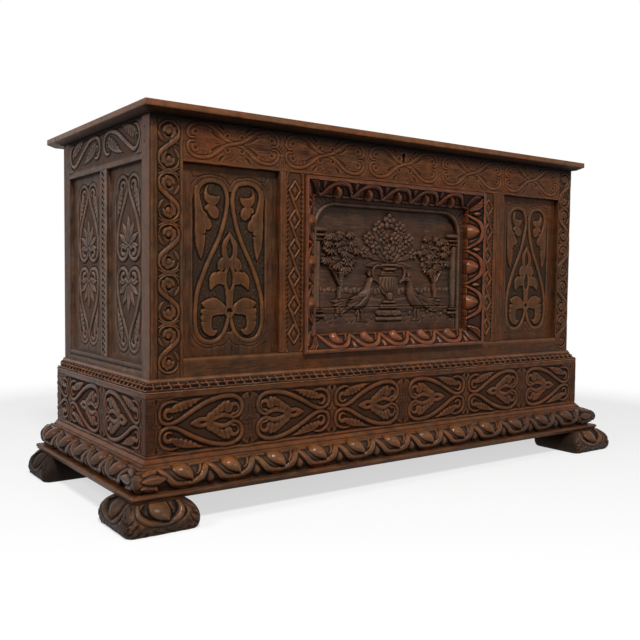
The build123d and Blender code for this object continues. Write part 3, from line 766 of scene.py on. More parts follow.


# Each has its dark, middle and light grain, the colour of its worn edges and painted highlights, its sunk
# ground and patches.
WOODS = {
    "oak_front": Wood(
        (34, 19, 11), (72, 46, 29), (94, 62, 41), (124, 79, 46), (46, 38, 30), (90, 51, 26), 0.48, 0.1
    ),
    "oak_rail": Wood(
        (38, 20, 11), (84, 51, 31), (110, 70, 45), (136, 83, 46), (52, 40, 30), (102, 57, 29), 0.48, 0.1
    ),
    "oak_frame": Wood(
        (34, 14, 8), (73, 39, 24), (97, 54, 34), (140, 78, 40), (27, 14, 8), (86, 40, 22), 0.42, 0.2
    ),
    "oak_relief": Wood(
        (28, 17, 11), (64, 43, 31), (84, 58, 44), (116, 84, 64), (38, 26, 18), (76, 47, 30), 0.46, 0.16
    ),
    # A lighter, greyer copy of the oak for the side frames and back posts: painted sheen.
    "oak_side": Wood(
        (46, 31, 24), (91, 69, 58), (117, 93, 81), (138, 111, 97), (64, 49, 41), (99, 70, 51), 0.5, 0.08
    ),
    "oak_back": Wood(
        (48, 31, 21), (78, 54, 38), (98, 71, 52), (116, 86, 66), (52, 38, 28), (78, 60, 47), 0.62
    ),
    "oak_plinth": Wood(
        (34, 17, 8), (64, 38, 24), (84, 52, 34), (124, 75, 42), (56, 37, 25), (84, 46, 24), 0.48, 0.1
    ),
    "oak_waist": Wood(
        (30, 16, 8), (62, 38, 24), (84, 54, 36), (146, 95, 62), (28, 17, 11), (76, 42, 22), 0.48, 0.12
    ),
    "oak_base": Wood(
        (36, 19, 10), (80, 50, 30), (108, 69, 42), (134, 84, 48), (50, 34, 23), (94, 55, 28), 0.45, 0.15
    ),
    "oak_torus": Wood(
        (30, 17, 9), (67, 42, 26), (88, 57, 35), (132, 80, 41), (34, 23, 15), (84, 50, 25), 0.42, 0.2
    ),
    # A darker copy of oak_torus for the side runs: painted shade.
    "oak_torus_side": Wood(
        (20, 11, 6), (48, 29, 19), (66, 42, 27), (104, 66, 41), (22, 13, 8), (60, 35, 20), 0.45, 0.16
    ),
    "oak_feet": Wood(
        (26, 16, 10), (56, 36, 22), (76, 49, 31), (116, 73, 43), (30, 21, 15), (58, 41, 30), 0.45, 0.14
    ),
    "oak_lid": Wood(
        (44, 25, 15), (91, 57, 36), (118, 77, 50), (144, 93, 59), (46, 28, 18), (98, 63, 41), 0.48, 0.1
    ),
    "oak_inner": Wood(
        (72, 50, 34), (116, 86, 60), (140, 108, 78), (150, 118, 88), (72, 50, 34), (104, 82, 62), 0.7
    ),
    "oak_pegs": Wood(
        (44, 28, 18), (72, 48, 32), (92, 64, 44), (116, 84, 58), (40, 28, 20), (70, 52, 40)
    ),
}
GRAIN = {"x": (0.07, 1, 1), "y": (1, 0.07, 1), "z": (1, 1, 0.07)}
EVEN = (1, 1, 1)
# The near-black of grime and painted shade in hollows and under the lid.
CREVICE = linear(10, 6, 4)
COOL = (0.86, 0.97, 1, 1)
WARM = (1, 0.86, 0.72, 1)
made_materials = {}


def oak(slot, axis):
    """Waxed old oak with its grain along an axis, darkened in its cuts by grime and painted shade, and
    lightened where worn and by painted highlight.
    """
    key = slot + "_" + axis
    if key in made_materials:
        return made_materials[key]
    wood = WOODS[slot]
    material, tree, shader = new_material(key)
    cavity, wear_and_highlight, ground = (tree.attribute(name) for name in TONES)
    stretched = tree.coordinates(GRAIN[axis])
    plain = tree.coordinates(EVEN)
    fibre = tree.noise(stretched, scale=300, detail=6, roughness=0.62, distortion=0.6)
    figure = tree.noise(stretched, scale=46, detail=3, roughness=0.5, distortion=1)
    pores = tree.noise(stretched, scale=700, detail=3, roughness=0.7)
    cloud = tree.noise(plain, scale=6, detail=3)
    mottle = tree.noise(plain, scale=38, roughness=0.6)
    hue = tree.noise(plain, scale=14, detail=3, roughness=0.6)

    grain = tree.plus(tree.times(fibre, 0.72), tree.times(figure, 0.28))
    colour = tree.ramp(grain, (0.34, wood.dark), (0.5, wood.middle), (0.66, wood.light))
    colour = tree.mix(tree.span(cloud, 0.44, 0.66, 0, 0.75), colour, wood.patch)
    colour = tree.mix(1, colour, tree.span(mottle, 0.3, 0.7, 0.62, 1.36), "MULTIPLY")
    pore_dark = tree.span(pores, 0.56, 0.68, 0, 0.6)
    colour = tree.mix(pore_dark, colour, wood.dark)
    colour = tree.mix(tree.times(ground, 0.75), colour, wood.ground)
    # The worn colour, in patches, for wear and painted highlight.
    patchy_wear_and_highlight = tree.times(wear_and_highlight, tree.span(mottle, 0.35, 0.65, 0.45, 1))
    colour = tree.mix(tree.times(patchy_wear_and_highlight, 0.9), colour, wood.worn)
    tint = tree.ramp(hue, (0.36, COOL), (0.64, WARM))
    colour = tree.mix(0.8, colour, tint, "MULTIPLY")
    # Near-black for grime and painted shade in hollows, under the lid and away from the light.
    colour = tree.mix(tree.times(cavity, 0.95), colour, CREVICE)
    tree.feed(shader["Base Color"], colour)

    fibre_dull = tree.span(fibre, 0.3, 0.7, wood.dullness - 0.08, wood.dullness + 0.1)
    dull = tree.plus(fibre_dull, tree.times(tree.plus(cavity, ground), 0.25))
    dull = tree.math("SUBTRACT", dull, tree.times(wear_and_highlight, 0.28))
    dull = tree.math("MAXIMUM", tree.math("MINIMUM", dull, 0.95), 0.16)
    tree.feed(shader["Roughness"], dull)
    tree.feed(shader["Specular IOR Level"], wood.sheen)
    pits = tree.math("SUBTRACT", tree.times(fibre, 0.7), tree.times(pore_dark, 0.8))
    tree.feed(shader["Normal"], tree.bump(pits, strength=0.5, distance=0.0009))
    made_materials[key] = material
    return material


def iron(name, colour, dullness):
    """Forged iron, brown-black, with some rust in its pits."""
    material, tree, shader = new_material(name)
    place = tree.coordinates(EVEN)
    forge = tree.noise(place, scale=120, detail=5, roughness=0.6)
    rust = tree.noise(place, scale=38, detail=5, roughness=0.65, distortion=0.4)
    bare = tree.ramp(forge, (0.3, linear(24, 22, 21)), (0.7, linear(*colour)))
    rusty = tree.mix(tree.span(rust, 0.52, 0.72, 0, 0.75), bare, linear(78, 46, 30))
    tree.feed(shader["Base Color"], rusty)
    tree.feed(shader["Metallic"], 0.75)
    dull = tree.span(rust, 0.35, 0.7, dullness - 0.12, dullness + 0.25)
    tree.feed(shader["Roughness"], dull)
    tree.feed(shader["Normal"], tree.bump(forge, strength=0.5, distance=0.0008))
    return material


# ---------------------------------------------------------------- motifs
def panel_heart(face, put):
    """A tall strapwork heart with hanging leaves and a palmette, u from its axis, v up."""
    field = both([upright(42, (311, 72), 42)]) + [upright(0, (318, 60), 14)]
    face.sink(put, field, 2.8, 2.4)
    face.stipple(0.45)
    strap = curve(
        (1.5, 84, 3.6), (6, 62, 4), (14, 44, 4.4), (28, 31, 4.7), (45, 27.5, 4.8),
        (62, 32, 4.8), (73, 45, 4.7), (78, 65, 4.6), (78, 95, 4.6), (74, 125, 4.6),
        (64, 155, 4.6), (50, 187, 4.6), (40, 207, 4.6), (28, 230, 4.5), (18, 255, 4.3),
        (10, 285, 4.3), (6, 310, 4.3), (8, 330, 4.5), (16, 345, 4.7), (27, 350.5, 4.8),
        (42, 352.5, 4.8), (58, 349, 5), (70, 339, 5.4), (76, 325, 6),
    )
    for half in put.with_mirrors(OVER_U):
        face.stamp(half, [strap], dome=0.8, moat=0.9, rim=(1.7, 0.35, 0.6), shine=0.3)
        hanging_leaf(face, half)
    palmette(face, put)
    outlines = both([
        groove((28, 364), (12, 358), (0, 345)),
        groove((88, 341), (80, 351), (66, 360), (45, 364.5), (24, 361)),
        groove((24, 18), (10, 22), (0, 33)),
        groove((86, 44), (78, 30), (62, 19), (45, 16), (26, 20)),
        line((87, 366, 0.3), (83, 357, 0.1), (70, 359, 0.1)),
        line((85, 22, 0.3), (77, 17, 0.1)),
    ])
    face.cut(put, outlines, 1.5, 0.9)


def hanging_leaf(face, put):
    """The leaf that hangs inside one lobe of a panel's heart, with two curled lobes above."""
    leaf = [
        curve((75, 336, 5), (74, 316, 6.5), (71, 298, 8.5), (68, 280, 11), (67, 262, 12),
              (67, 245, 11.5), (67, 230, 10.5), (67, 217, 8), (66, 205, 4.6), (65, 193, 0.5)),
        curve((66, 284, 7), (60, 280, 9), (60, 268, 9)),
        curve((60, 271, 10), (54, 266, 11), (51, 262, 9.5)),
    ]
    notch = [line((62, 243, 0.3), (50, 246, 3), (42, 249, 4))]
    upper = curve((52, 296, 5), (44, 297, 9), (38, 291, 11.5), (35, 285, 9.5))
    horn = curve(
        (51, 342, 0.7), (55, 332, 2.4), (54, 322, 5), (48, 315, 8.5), (40, 312, 10), (32, 314, 7),
        (25, 321, 1.5),
    )
    fold = groove((68, 290), (63, 281), (62, 270), (66, 258))
    face.stamp(put, leaf, notch, dome=0.5, moat=0.7, shine=0.5)
    face.cut(put, [fold], 0.6, 1.0)
    for lobe in (upper, horn):
        face.stamp(put, [lobe], dome=0.6, moat=0.8, moat_w=0.8, shine=0.5)


def palmette(face, put):
    """The pierced plant in the middle of a panel's heart."""
    palm = [
        curve(
            (0, 252, 0.4), (0, 243, 5), (0, 233, 11), (0, 223, 17), (0, 215, 18.5), (0, 206, 17),
            (0, 197, 11),
        ),
        curve((0, 197, 9), (0, 182, 11), (0, 160, 13), (0, 140, 12), (0, 122, 9), (0, 105, 7.5), (0, 80, 7)),
    ]
    palm += both([
        curve((3, 189, 8), (12, 189, 11), (18, 184, 10), (21, 176, 6.5), (19, 169, 2)),
        curve(
            (4, 150, 10), (15, 156, 13), (26, 158, 13.5), (34, 154, 12), (39, 146, 8), (42, 138, 4),
            (43, 133, 1.4),
        ),
        curve(
            (6, 88, 5), (14, 92, 9), (24, 98, 12), (36, 103, 13.5), (47, 103, 11), (55, 104, 7),
            (61, 105, 3),
        ),
        curve(
            (18, 88, 6), (34, 91, 10), (47, 87, 12.5), (52, 74, 12), (52, 60, 11), (47, 50, 9),
            (39, 45, 6.5), (30, 49, 3),
        ),
        disc(60, 89, 5.5), disc(60, 76, 5.5), disc(58, 62, 6),
    ]) + [disc(0, 86, 11)]
    holes = [
        curve((0, 237, 0.5), (0, 227, 4.5), (0, 216, 7.5), (0, 206, 6), (0, 197, 1)),
        curve((0, 179, 0.5), (0, 168, 5), (0, 156, 7.5), (0, 144, 6), (0, 132, 0.5)),
        disc(0, 89, 6),
    ]
    holes += both([
        disc(28, 66, 12.8), disc(22, 128, 12.5),
        line((30, 171, 3), (23, 172, 0.6)), line((70, 98, 3), (61, 98, 0.4)),
        line((72, 82.5, 2), (63, 82.5, 0.4)), line((70, 69, 2), (61, 69.5, 0.4)),
    ])
    face.stamp(put, palm, holes, dome=0.8, moat=0.9, shine=0.5)
    cuts = both([
        groove((28, 172), (20, 170), (12, 173)),
        groove((61, 98), (48, 93), (34, 94)),
        groove((63, 82.5), (55, 80), (49, 82)),
        groove((61, 69.5), (54, 68)),
    ])
    face.cut(put, cuts, 0.8, 0.9)


def lozenge_band(face, centre, places, ends, half_w, half_h):
    """A plait of straps over diamonds, each with a small pyramid, along v."""
    low, high = ends
    border = half_w + 5
    face.sink(HERE, [upright(centre, ends, border)], 2.3, 1.8)
    face.ground *= 0.6
    band = 2.4
    corners = [(0, half_h), (half_w, 0), (0, -half_h), (-half_w, 0), (0, half_h)]
    ring = line(*[(u, v, band) for u, v in corners])
    for place in places:
        pyramid = 1 - (np.abs(face.u - centre) / 9.5 + np.abs(face.v - place) / 13.5)
        face.height += 2.4 * np.clip(pyramid, 0, 1)
        face.stamp(Place(centre, place), [ring], top=-0.2, dome=0.7, moat=0.9, shine=0.12)
    pitch = places[1] - places[0]
    strap = line((half_w, 0, band), (-half_w, pitch, band))
    for place in places[:-1]:
        face.stamp(Place(centre, place), [strap], top=0.1, dome=0.7, moat=1.2, shine=0.15)
    nick_pitch = 10.2
    for count in range(int((high - low) / nick_pitch)):
        v = low + 6 + count * nick_pitch
        for side in (-1, 1):
            nick = line((centre + side * border, v, 1.3), (centre + side * (border - 5), v + 3, 0.3))
            face.cut(HERE, [nick], 1.2, 0.9)


def guilloche_unit(face, put):
    """Two scroll circles joined by an S strap, 97 mm long, across 46 mm; u along it."""
    comma = [
        curve(
            (-8, 1, 1), (-12, 8, 3.6), (-20, 11, 5.2), (-29, 8, 6.4), (-33, 0, 6.4), (-31, -7, 4.6),
            (-25, -11, 2.4),
        ),
        disc(-26, 1, 7.5),
    ]
    for degrees in (35, 78, 121, 164):
        turned = math.radians(degrees)
        comma.append(disc(-25 + 12.8 * math.cos(turned), 12.8 * math.sin(turned), 4.3))
    eye = arc((-23, -1), 5.2, -75, 120, (0.8, 2.4, 0.5))
    tuft = curve((-5, -10, 0.8), (-11, -16, 3), (-20, -20.5, 2.4), (-28, -21, 0.6))
    for end in put.with_mirrors(OVER_BOTH):
        face.stamp(end, comma, top=-0.4, dome=0.7, moat=1.1, moat_w=0.9, shine=0.15)
        face.cut(end, [arc((-25, 0), 7.4, 60, 235)], 1.2, 0.8)
        face.sink(end, [eye], 2.4, 1.5)
        face.stamp(end, [tuft], top=-0.5, dome=0.6, moat=0.9, moat_w=0.9)
    strap = turned_curve(
        (11, -14, 4.6), (23, -21, 3.4), (35, -19, 2.8), (44, -9, 2.6), (45.5, 5, 2.6),
        (38, 17, 2.2), (25, 21, 1),
    )
    face.stamp(put, [strap], top=0.2, dome=0.9, moat=1.6, moat_w=0.9, shine=0.2)


def guilloche_tie(face, put):
    """The forked tie between two guilloche units, across the band."""
    forks = both(both([curve((0, 3, 2.6), (1.5, 11, 1.8), (7, 21, 1.6))]), mirror_v)
    face.stamp(put, forks, top=-0.1, dome=0.7, moat=0.9, moat_w=0.9)


def guilloche(face, centre, ends, count=5):
    """A band of guilloche along v, with its units mirrored in turn."""
    low, high = ends
    pitch = (high - low) / count
    face.sink(HERE, [upright(centre, (low + 22, high - 22), 22.5)], 1.6, 1.6)
    face.ground *= 0.6
    for unit in range(count):
        middle = low + (unit + 0.5) * pitch
        side = 1 if unit % 2 else -1
        guilloche_unit(face, Place(centre, middle, pitch / 97, side, swap=True))
    for unit in range(1, count):
        guilloche_tie(face, Place(centre, low + unit * pitch, swap=True))


def frieze_heart(face, put, fleur=False):
    """A sideways heart with its scrolls: u runs from the big lobes, v from the axis."""
    strap = curve(
        (160, 44.5, 0.8), (170, 46, 2.4), (182, 45.5, 3), (195, 39, 3.3), (202.5, 24, 3.4),
        (196, 9, 3.6), (180, 3.2, 4), (160, 9, 4.4), (140, 20, 4.7), (115, 33, 4.8),
        (90, 43, 4.8), (65, 48.5, 4.8), (43, 48.5, 4.6), (27, 42, 4.3), (19, 30, 4.2),
        (20, 17, 4), (28, 7, 3.8), (40, 3, 3),
    )
    curl = [
        arc((181, 22), 9.0, -150, 130, (1.6, 3.4, 5)),
        curve((173, 29, 5.2), (162, 35, 7.5), (150, 38, 8), (137, 41.5, 6.5), (123, 45.5, 4), (107, 49, 0.6)),
        disc(165, 29.5, 4.8), disc(155, 30.5, 5), disc(145, 33.5, 4.8),
        disc(135, 37, 4.4), disc(125, 41.5, 3.4),
    ]
    veins = [
        score((160, 31), (164, 39)),
        score((150, 32), (154, 41)),
        score((140, 35.5), (143, 43)),
        score((130, 39), (132, 45)),
    ]
    for half in put.with_mirrors(OVER_V):
        face.stamp(half, curl, top=-0.2, dome=0.9, moat=0.8, moat_w=0.8, shine=0.3)
        face.cut(half, veins, 0.9, 0.8)
    if fleur:
        frieze_fleur(face, put)
    else:
        frieze_palm(face, put)
    for half in put.with_mirrors(OVER_V):
        face.stamp(
            half, [strap], top=0.1, dome=1.0, wall=1.6, moat=1.2, moat_w=0.8, rim=(2.2, 0.35, 0.7),
            shine=0.1,
        )
    bands = both([
        arc((44, 26), 31.5, 100, 235),
        arc((180, 24), 29.0, -65, 75),
    ], mirror_v)
    face.cut(put, bands, 1.0, 0.8)


def frieze_palm(face, put):
    """The feathered leaf in a frieze heart, with a curl at each side."""
    palm = [
        curve(
            (135, 0, 0.5), (126, 0, 6), (113, 0, 10.5), (98, 0, 10.5), (80, 0, 14), (62, 0, 16),
            (44, 0, 10),
        ),
        blade(88, 10, 130, 20, 6.5), blade(78, 14, 122, 22, 6.5), blade(68, 18, 116, 22, 6.5),
        blade(98, 7, 138, 16, 6.0), blade(56, 20, 108, 20, 6.5),
        disc(52, 24, 9), disc(38, 22.5, 13.5),
    ]
    holes = [
        curve((115, 0, 0.6), (109, 0, 2.6), (102, 0, 0.6)),
        curve((83, 0, 0.5), (73, 0, 4.2), (62, 0, 6), (52, 0, 4.2), (42, 0, 0.5)),
    ]
    holes += both([disc(35, 21, 6.4), line((35, 21, 3), (47, 12, 1.5))], mirror_v)
    face.stamp(put, both(palm, mirror_v), holes, top=-0.2, dome=1.1, wall=1.8, moat=0.8, shine=0.45)
    rays = both([
        score((96, 16), (91, 7)),
        score((83, 25), (80, 10)),
        score((73, 29), (71, 12)),
        score((61, 33), (60, 13)),
        arc((37, 22), 13.5, -20, 150),
    ], mirror_v)
    face.cut(put, rays, 0.8, 0.8)


def frieze_fleur(face, put):
    """The spread leaf in a side heart: seven pointed lobes over two curls."""
    lobes = both([
        blade(58, 3, 22, 46, 7.5, 4), blade(52, 6, 48, 40, 7.0, 5), blade(46, 9, 76, 30, 6.0, 5),
    ], mirror_v)
    face.stamp(put, [curve((34, 0, 5), (50, 0, 9), (64, 0, 7))], top=-0.4, dome=0.8, moat=1.0)
    for lobe in lobes + [blade(56, 0, 0, 58, 8.0)]:
        face.stamp(put, [lobe], top=-0.3, dome=1.0, moat=1.2, moat_w=0.8, shine=0.2)
        face.cut(put, [vein(lobe[:5])], 0.6, 0.8)
    curl = [
        arc((38, 22), 8.5, -70, 200, (2.0, 3.6, 4.6)),
        curve((41, 13, 2.4), (46, 8, 3.4), (50, 3, 4)),
    ]
    for half in put.with_mirrors(OVER_V):
        face.stamp(half, curl, top=-0.2, dome=1.0, moat=1.2, moat_w=0.8, shine=0.2)


def frieze_bracket(face, put):
    """The pinched block between two hearts, with its small diamond."""
    nicks = both(both([groove((14, 2), (7, 4.5), (3.5, 12), (4, 26))]), mirror_v)
    face.cut(put, nicks, 1.0, 0.9)
    face.sink(put, both([line((0, 40, 0.8), (0, 48, 4.5))], mirror_v), 1.3, 1.5)


def frieze_band(face, pair_places, low, high, axis, half_pair):
    """Hearts in mirrored pairs along u on a sunk ground, with plain borders."""
    half = (high - low) / 2
    face.sink(HERE, [level(axis, face.ends_u(26 + half), half)], 2.2, 2.0)
    face.stipple(0.15)
    for place in pair_places:
        for middle, width in ((place, 24.0), (place - half_pair, 14.0), (place + half_pair, 14.0)):
            block = upright(middle, (axis + half - width, axis - half + width), width)
            face.stamp(HERE, [block], top=-0.35, moat=0.0)
    for place in pair_places:
        for side in (-1, 1):
            frieze_heart(face, Place(place, axis, side))
            frieze_bracket(face, Place(place + side * half_pair, axis))
        frieze_bracket(face, Place(place, axis))
    edge = smooth((low - 1 - face.v) / 2) + smooth((face.v - high - 1) / 2)
    face.fade(edge, -0.25)
    face.ground *= 1 - edge
    face.polish_and_highlight += 0.6 * edge


def rail_unit(face, put):
    """Two straps that cross and scroll at both ends, cut nearly flush; u from the crossing."""
    quarters = put.with_mirrors(OVER_U, OVER_V, OVER_BOTH)
    scallops = [
        arc((56, 21.5), 4.4, 150, 390), arc((66, 24.5), 4.4, 170, 380), arc((76, 24.5), 4.2, 170, 380),
    ]
    spray = [
        groove((3, 20), (9, 28), (22, 33)), groove((0, 27), (5, 33), (12, 37)),
        groove((36, -3), (50, -2), (66, -2)),
    ]
    for quarter in quarters:
        face.cut(quarter, scallops, 0.7, 0.8)
        face.sink(quarter, [curve((30, 4, 0.5), (42, 11, 2), (51, 17, 2.4))], 1.3, 1.5)
        face.sink(quarter, [curve((24, 25, 0.6), (32, 31, 2.4), (36, 37, 1.2))], 1.4, 1.6)
        face.cut(quarter, spray, 0.8, 0.8)
    strap = turned_curve(
        (14, 3.5, 3.6), (29, 12, 3.8), (41, 21, 3.9), (55, 29.5, 3.9), (72, 33.5, 3.9),
        (89, 32, 3.7), (101, 24, 3.4), (105, 12, 3), (99, 3.5, 2.4), (89, 4, 1.6),
    )
    for one in (mirror_v(strap), strap):
        face.stamp(put, [one], top=0.1, dome=0.8, wall=1.6, moat=1.5, moat_w=0.9, rim=(2, 0.25, 0.6))
    curls = (
        (arc((17, 13), 6.4, -40, 230, (1.2, 2.2, 0.8)), disc(16.5, 13.5, 2.6)),
        (arc((88, 14.5), 7.0, -60, 200, (1.2, 2.4, 0.8)), disc(87.5, 15, 2.7)),
    )
    for quarter in quarters:
        for curl, eye in curls:
            face.stamp(quarter, [curl], top=0.1, dome=0.4, moat=1.0, moat_w=0.8)
            face.sink(quarter, [eye], 1.2, 1.5)


def rail_bracket(face, put):
    """The lines and the small hatched diamond between two rail units."""
    lines = both(both([
        groove((2.5, 36), (3.0, 24), (8.5, 13)),
        groove((8, 37), (7.5, 30), (10, 24)),
    ]), mirror_v)
    face.cut(put, lines, 1.0, 0.8)
    hatch = [score((k - 5, k + 5), (k + 5, k - 5)) for k in (-6.5, -2.2, 2.2, 6.5)]
    face.cut(put, hatch, 1.1, 0.8)
    face.cut(put, [mirror_u(stroke) for stroke in hatch[1:3]], 0.7, 0.8)


def side_scroll(face, put):
    """A long S scroll of the side rails: u from the middle of the rail, v from its axis."""
    fans = [
        [
            curve((34, 5, 6), (46, 3, 9), (60, -3, 10), (76, -10, 8), (94, -17, 4), (112, -21, 0.6)),
            disc(44, 12, 6), disc(55, 8.5, 6), disc(66, 3, 6), disc(77, -3, 5.5), disc(88, -10, 4.5),
        ],
        [
            curve((178, 10, 6), (166, 15, 8.5), (152, 20, 8.5), (136, 26, 6.5), (118, 31, 3), (104, 33, 0.6)),
            disc(168, 6, 6), disc(157, 9.5, 6), disc(146, 14, 5.5), disc(135, 19, 5), disc(124, 25, 4),
        ],
    ]
    for parts in fans:
        face.stamp(put, parts, top=-0.2, dome=0.8, moat=1.0)
    rays = [
        score((50, 13), (46, -3)), score((61, 8), (57, -7)),
        score((72, 2), (68, -11)), score((83, -5), (80, -14)),
        score((162, 5), (166, 20)), score((151, 9), (156, 24)),
        score((140, 14), (145, 28)), score((129, 21), (133, 30)),
    ]
    face.cut(put, rays, 1.0, 0.9)
    for eye in (disc(30, 4, 7), disc(184, 2, 7)):
        face.stamp(put, [eye], top=-0.4, dome=1.0, moat=1.3)
        face.sink(put, [eye * (1, 1, 0.5) + (1.5, -1.5, 0)], 2.2, 1.5)
    strap = curve(
        (48, -12, 0.8), (39, -17, 2.6), (26, -16, 3.4), (16, -8, 3.6), (13, 4, 3.8),
        (17, 18, 4), (30, 27, 4.2), (50, 29, 4.4), (76, 24, 4.5), (100, 13, 4.5),
        (126, -1, 4.5), (150, -14, 4.4), (170, -22, 4.2), (188, -18, 4), (199, -4, 3.7),
        (198, 12, 3.4), (188, 23, 2.8), (174, 27, 0.8),
    )
    face.stamp(put, [strap], top=0.1, dome=1.0, moat=1.4, rim=(2.2, 0.35, 0.7), shine=0.2)
    face.cut(put, [vein(strap)], 0.5, 0.9)


def ribbon_and_egg(face, put):
    """One length of the round moulding, 105 mm: a wave of ribbon under a pointed boss."""
    bud = curve((57, 30, 3), (60, 20, 7.5), (61, 11, 8))
    face.stamp(put, [bud], top=-3.6, dome=4.0, wall=2.6, moat=0.9)
    sliver = curve((30, 30, 1), (38, 38, 3.4), (42, 47, 3.6), (44, 56, 2.4))
    face.stamp(put, [sliver], top=-3.2, dome=2.4, wall=1.8, moat=1.2, shine=0.5)
    ribbon = curve(
        (-47, 55, 4.6), (-39, 44, 5.8), (-30, 30, 6.8), (-17, 15, 7.6), (0, 8.5, 8),
        (20, 10, 8), (35, 19, 7.4), (45, 32, 6.8), (52, 46, 6.2), (60, 56, 5.2), (67, 50, 3.6),
    )
    face.stamp(put, [ribbon], top=-0.6, dome=1.2, wall=2.2, moat=2.4, rim=(3.2, 0.4, 0.9), shine=0.2)
    crest = groove((60, 50), (66, 40), (74, 28))
    face.cut(put, [crest], 1.8, 1.0)
    egg = curve((19, 20, 0.6), (16, 27, 7), (11, 35, 13), (6, 43, 17), (3, 51, 18.5), (3, 60, 18))
    face.stamp(put, [egg], top=-4.2, dome=8.4, wall=2.2, moat=3.0, moat_w=1.3, shine=1.0)


def corner_leaves(face, u, inward):
    """A bulky leaf that wraps the mitre, with three fingers along the moulding."""
    put = Place(u, 0, inward)
    block = [curve((-6, 29, 27), (12, 29, 25), (24, 29, 19))]
    face.stamp(put, block, top=-1.8, dome=3.4, wall=2.6, moat=2.2)
    fingers = [
        blade(14, 42, 8, 36, 11.0, 3), blade(14, 16, -8, 36, 11.0, -3), blade(16, 29, 0, 48, 12.0),
    ]
    for finger in fingers:
        face.stamp(put, [finger], top=-1.4, dome=4.2, wall=2.2, moat=1.8, moat_w=1.1, shine=0.3)
        face.cut(put, [vein(finger[1:-1])], 0.9, 1.2)
    folds = [
        curve((0, 47, 0.3), (7, 45, 1.2), (13, 48, 0.3)),
        curve((0, 11, 0.3), (7, 13, 1.2), (13, 10, 0.3)),
    ]
    face.cut(put, folds, 1.6, 1.3)


def torus_carving(face, eggs, corners):
    """The whole length of a round moulding."""
    face.sink(HERE, [level(28, face.ends_u(10), 30)], 4.6, 3.5)
    face.ground *= 0.8
    for egg in eggs:
        ribbon_and_egg(face, Place(egg, 0))
    for u, inward in corners:
        corner_leaves(face, u, inward)
    lip = smooth((face.v - face.vs[-1] + 3.2) / 1.5)
    face.fade(lip, 0.0)
    face.ground *= 1 - lip
    face.polish_and_highlight += 0.4 * lip


def chip_chain(face, middle, pitch=20.3):
    """A chain of gouge cuts, each with a thin hooked ridge round its blunt end."""
    face.sink(HERE, [level(middle + 1, face.ends_u(), 9.5)], 1.4, 1.6)
    face.ground *= 0.8
    ridge = curve(
        (0, -5.4, 0.8), (12, -5.4, 1), (19.4, -3.6, 1.2), (20.8, 0.2, 1.3), (17.5, 3.6, 1.2),
        (1, 4.6, 0.7),
    )
    tick = curve((20.4, 1.5, 1.2), (17.5, 6, 1.1), (16, 11, 0.8))
    gouge = curve((1, 0.2, 0.2), (8, -0.4, 1.4), (14.5, -1, 2.2), (16.6, -1, 1.6))
    start = face.us[0] - 4
    for index in range(int((face.us[-1] - start) / pitch) + 2):
        put = Place(start + index * pitch, middle)
        face.stamp(put, [ridge, tick], top=0.3, dome=0.4, wall=1.3, moat=0.5, moat_w=0.8, shine=0.9)
        face.cut(put, [gouge], 2.4, 0.8)


def egg_arc(face, put):
    """A glossy egg in a ribbon arc, v inwards from the frame's fillet."""
    half = 19.5
    bud = curve((45, 8, 1), (45, 15, 5), (45, 22, 5), (45, 28, 1))
    face.stamp(put, [bud], top=-2.8, dome=4.4, wall=2.0, moat=1.4, shine=0.9)
    ribbon = curve(
        (-44, 46, 3), (-37, 33, 3.6), (-30, 20, 4.4), (-19, 8, 5), (0, 3.5, 5.2),
        (19, 8, 5), (30, 20, 4.4), (37, 33, 3.6), (44, 46, 3),
    )
    face.stamp(put, [ribbon], top=-0.8, dome=1.6, wall=2.0, moat=2.4, rim=(3.6, 1, 0.8), shine=0.15)
    egg = curve((0, 12, 1), (0, 19, half * 0.46), (0, 28, half * 0.8), (0, 38, half * 0.98), (0, 46, half))
    face.stamp(put, [egg], top=-5.0, dome=10.5, wall=2.2, moat=2.8, moat_w=1.6, shine=1.0)


def frame_carving(face, eggs, lean):
    """The sloping face of one centre moulding, with its eggs in a ribbon that leans or in arcs."""
    slope = face.vs[-1] - 41.0
    face.sink(HERE, [level(slope + 20, face.ends_u(), 19)], 4.4, 2.4)
    for egg in eggs:
        if lean:
            ribbon_and_egg(face, Place(egg, slope - 1, 1.17 * lean, grow=0.72))
        else:
            egg_arc(face, Place(egg, slope - 1))
    left, right = face.ends_u()
    for end, inward in ((left, 1), (right, -1)):
        for count in range(3):
            lobe = curve((10 + 9 * count, 4, 2.5), (20 + 9 * count, 15, 6), (30 + 7 * count, 34, 5))
            face.stamp(Place(end, slope, inward), [lobe], top=-1.8, dome=2.2, moat=1.5)
    face.polish_and_highlight += 0.35 * smooth((slope + 1 - face.v) / 1.5)


# ---------------------------------------------------------------- the front
def front_posts():
    """The two corner posts: a bead, a guilloche band and a fillet on each face."""
    bottom = span("waist_moulding_front", Z)[1]
    ends = (bottom, TOP_Z)
    for side, outer, inner, outer_x, low, band, seed in (
        ("left", "l", "r", LEFT_X, POST_LEFT[0], (15.8, 62.5), 11),
        ("right", "r", "l", RIGHT_X, POST_RIGHT[0], (5.0, 47.0), 12),
    ):
        node = "post_front_" + side
        face = box_face(node, X, FINE, seed)
        guilloche(face, low + sum(band) / 2, (bottom + 7, TOP_Z - 8))
        for edge in band:
            face.cut(HERE, [upright(low + edge, ends, 0.3)], 1.2, 1.0)
        if side == "left":
            face.height += 0.8 * arch_over((face.u - (low + 7.5)) / 6.5) - 0.5
            face.cut(HERE, [upright(low + 1.2, ends, 0.2)], 0.8, 1.0)
        # Painted shadow of the lid along the top.
        face.darken_towards("t", 13.0, 1.0)
        face.round_border(1.6, outer)
        face.round_border(0.9, inner)
        material = oak("oak_front", "z")
        # The outer side face takes the worn colour as a painted sheen.
        carved_piece(node, front_spot(FRONT_Y), face, material, "oak_front", sheen_side_x=outer_x)


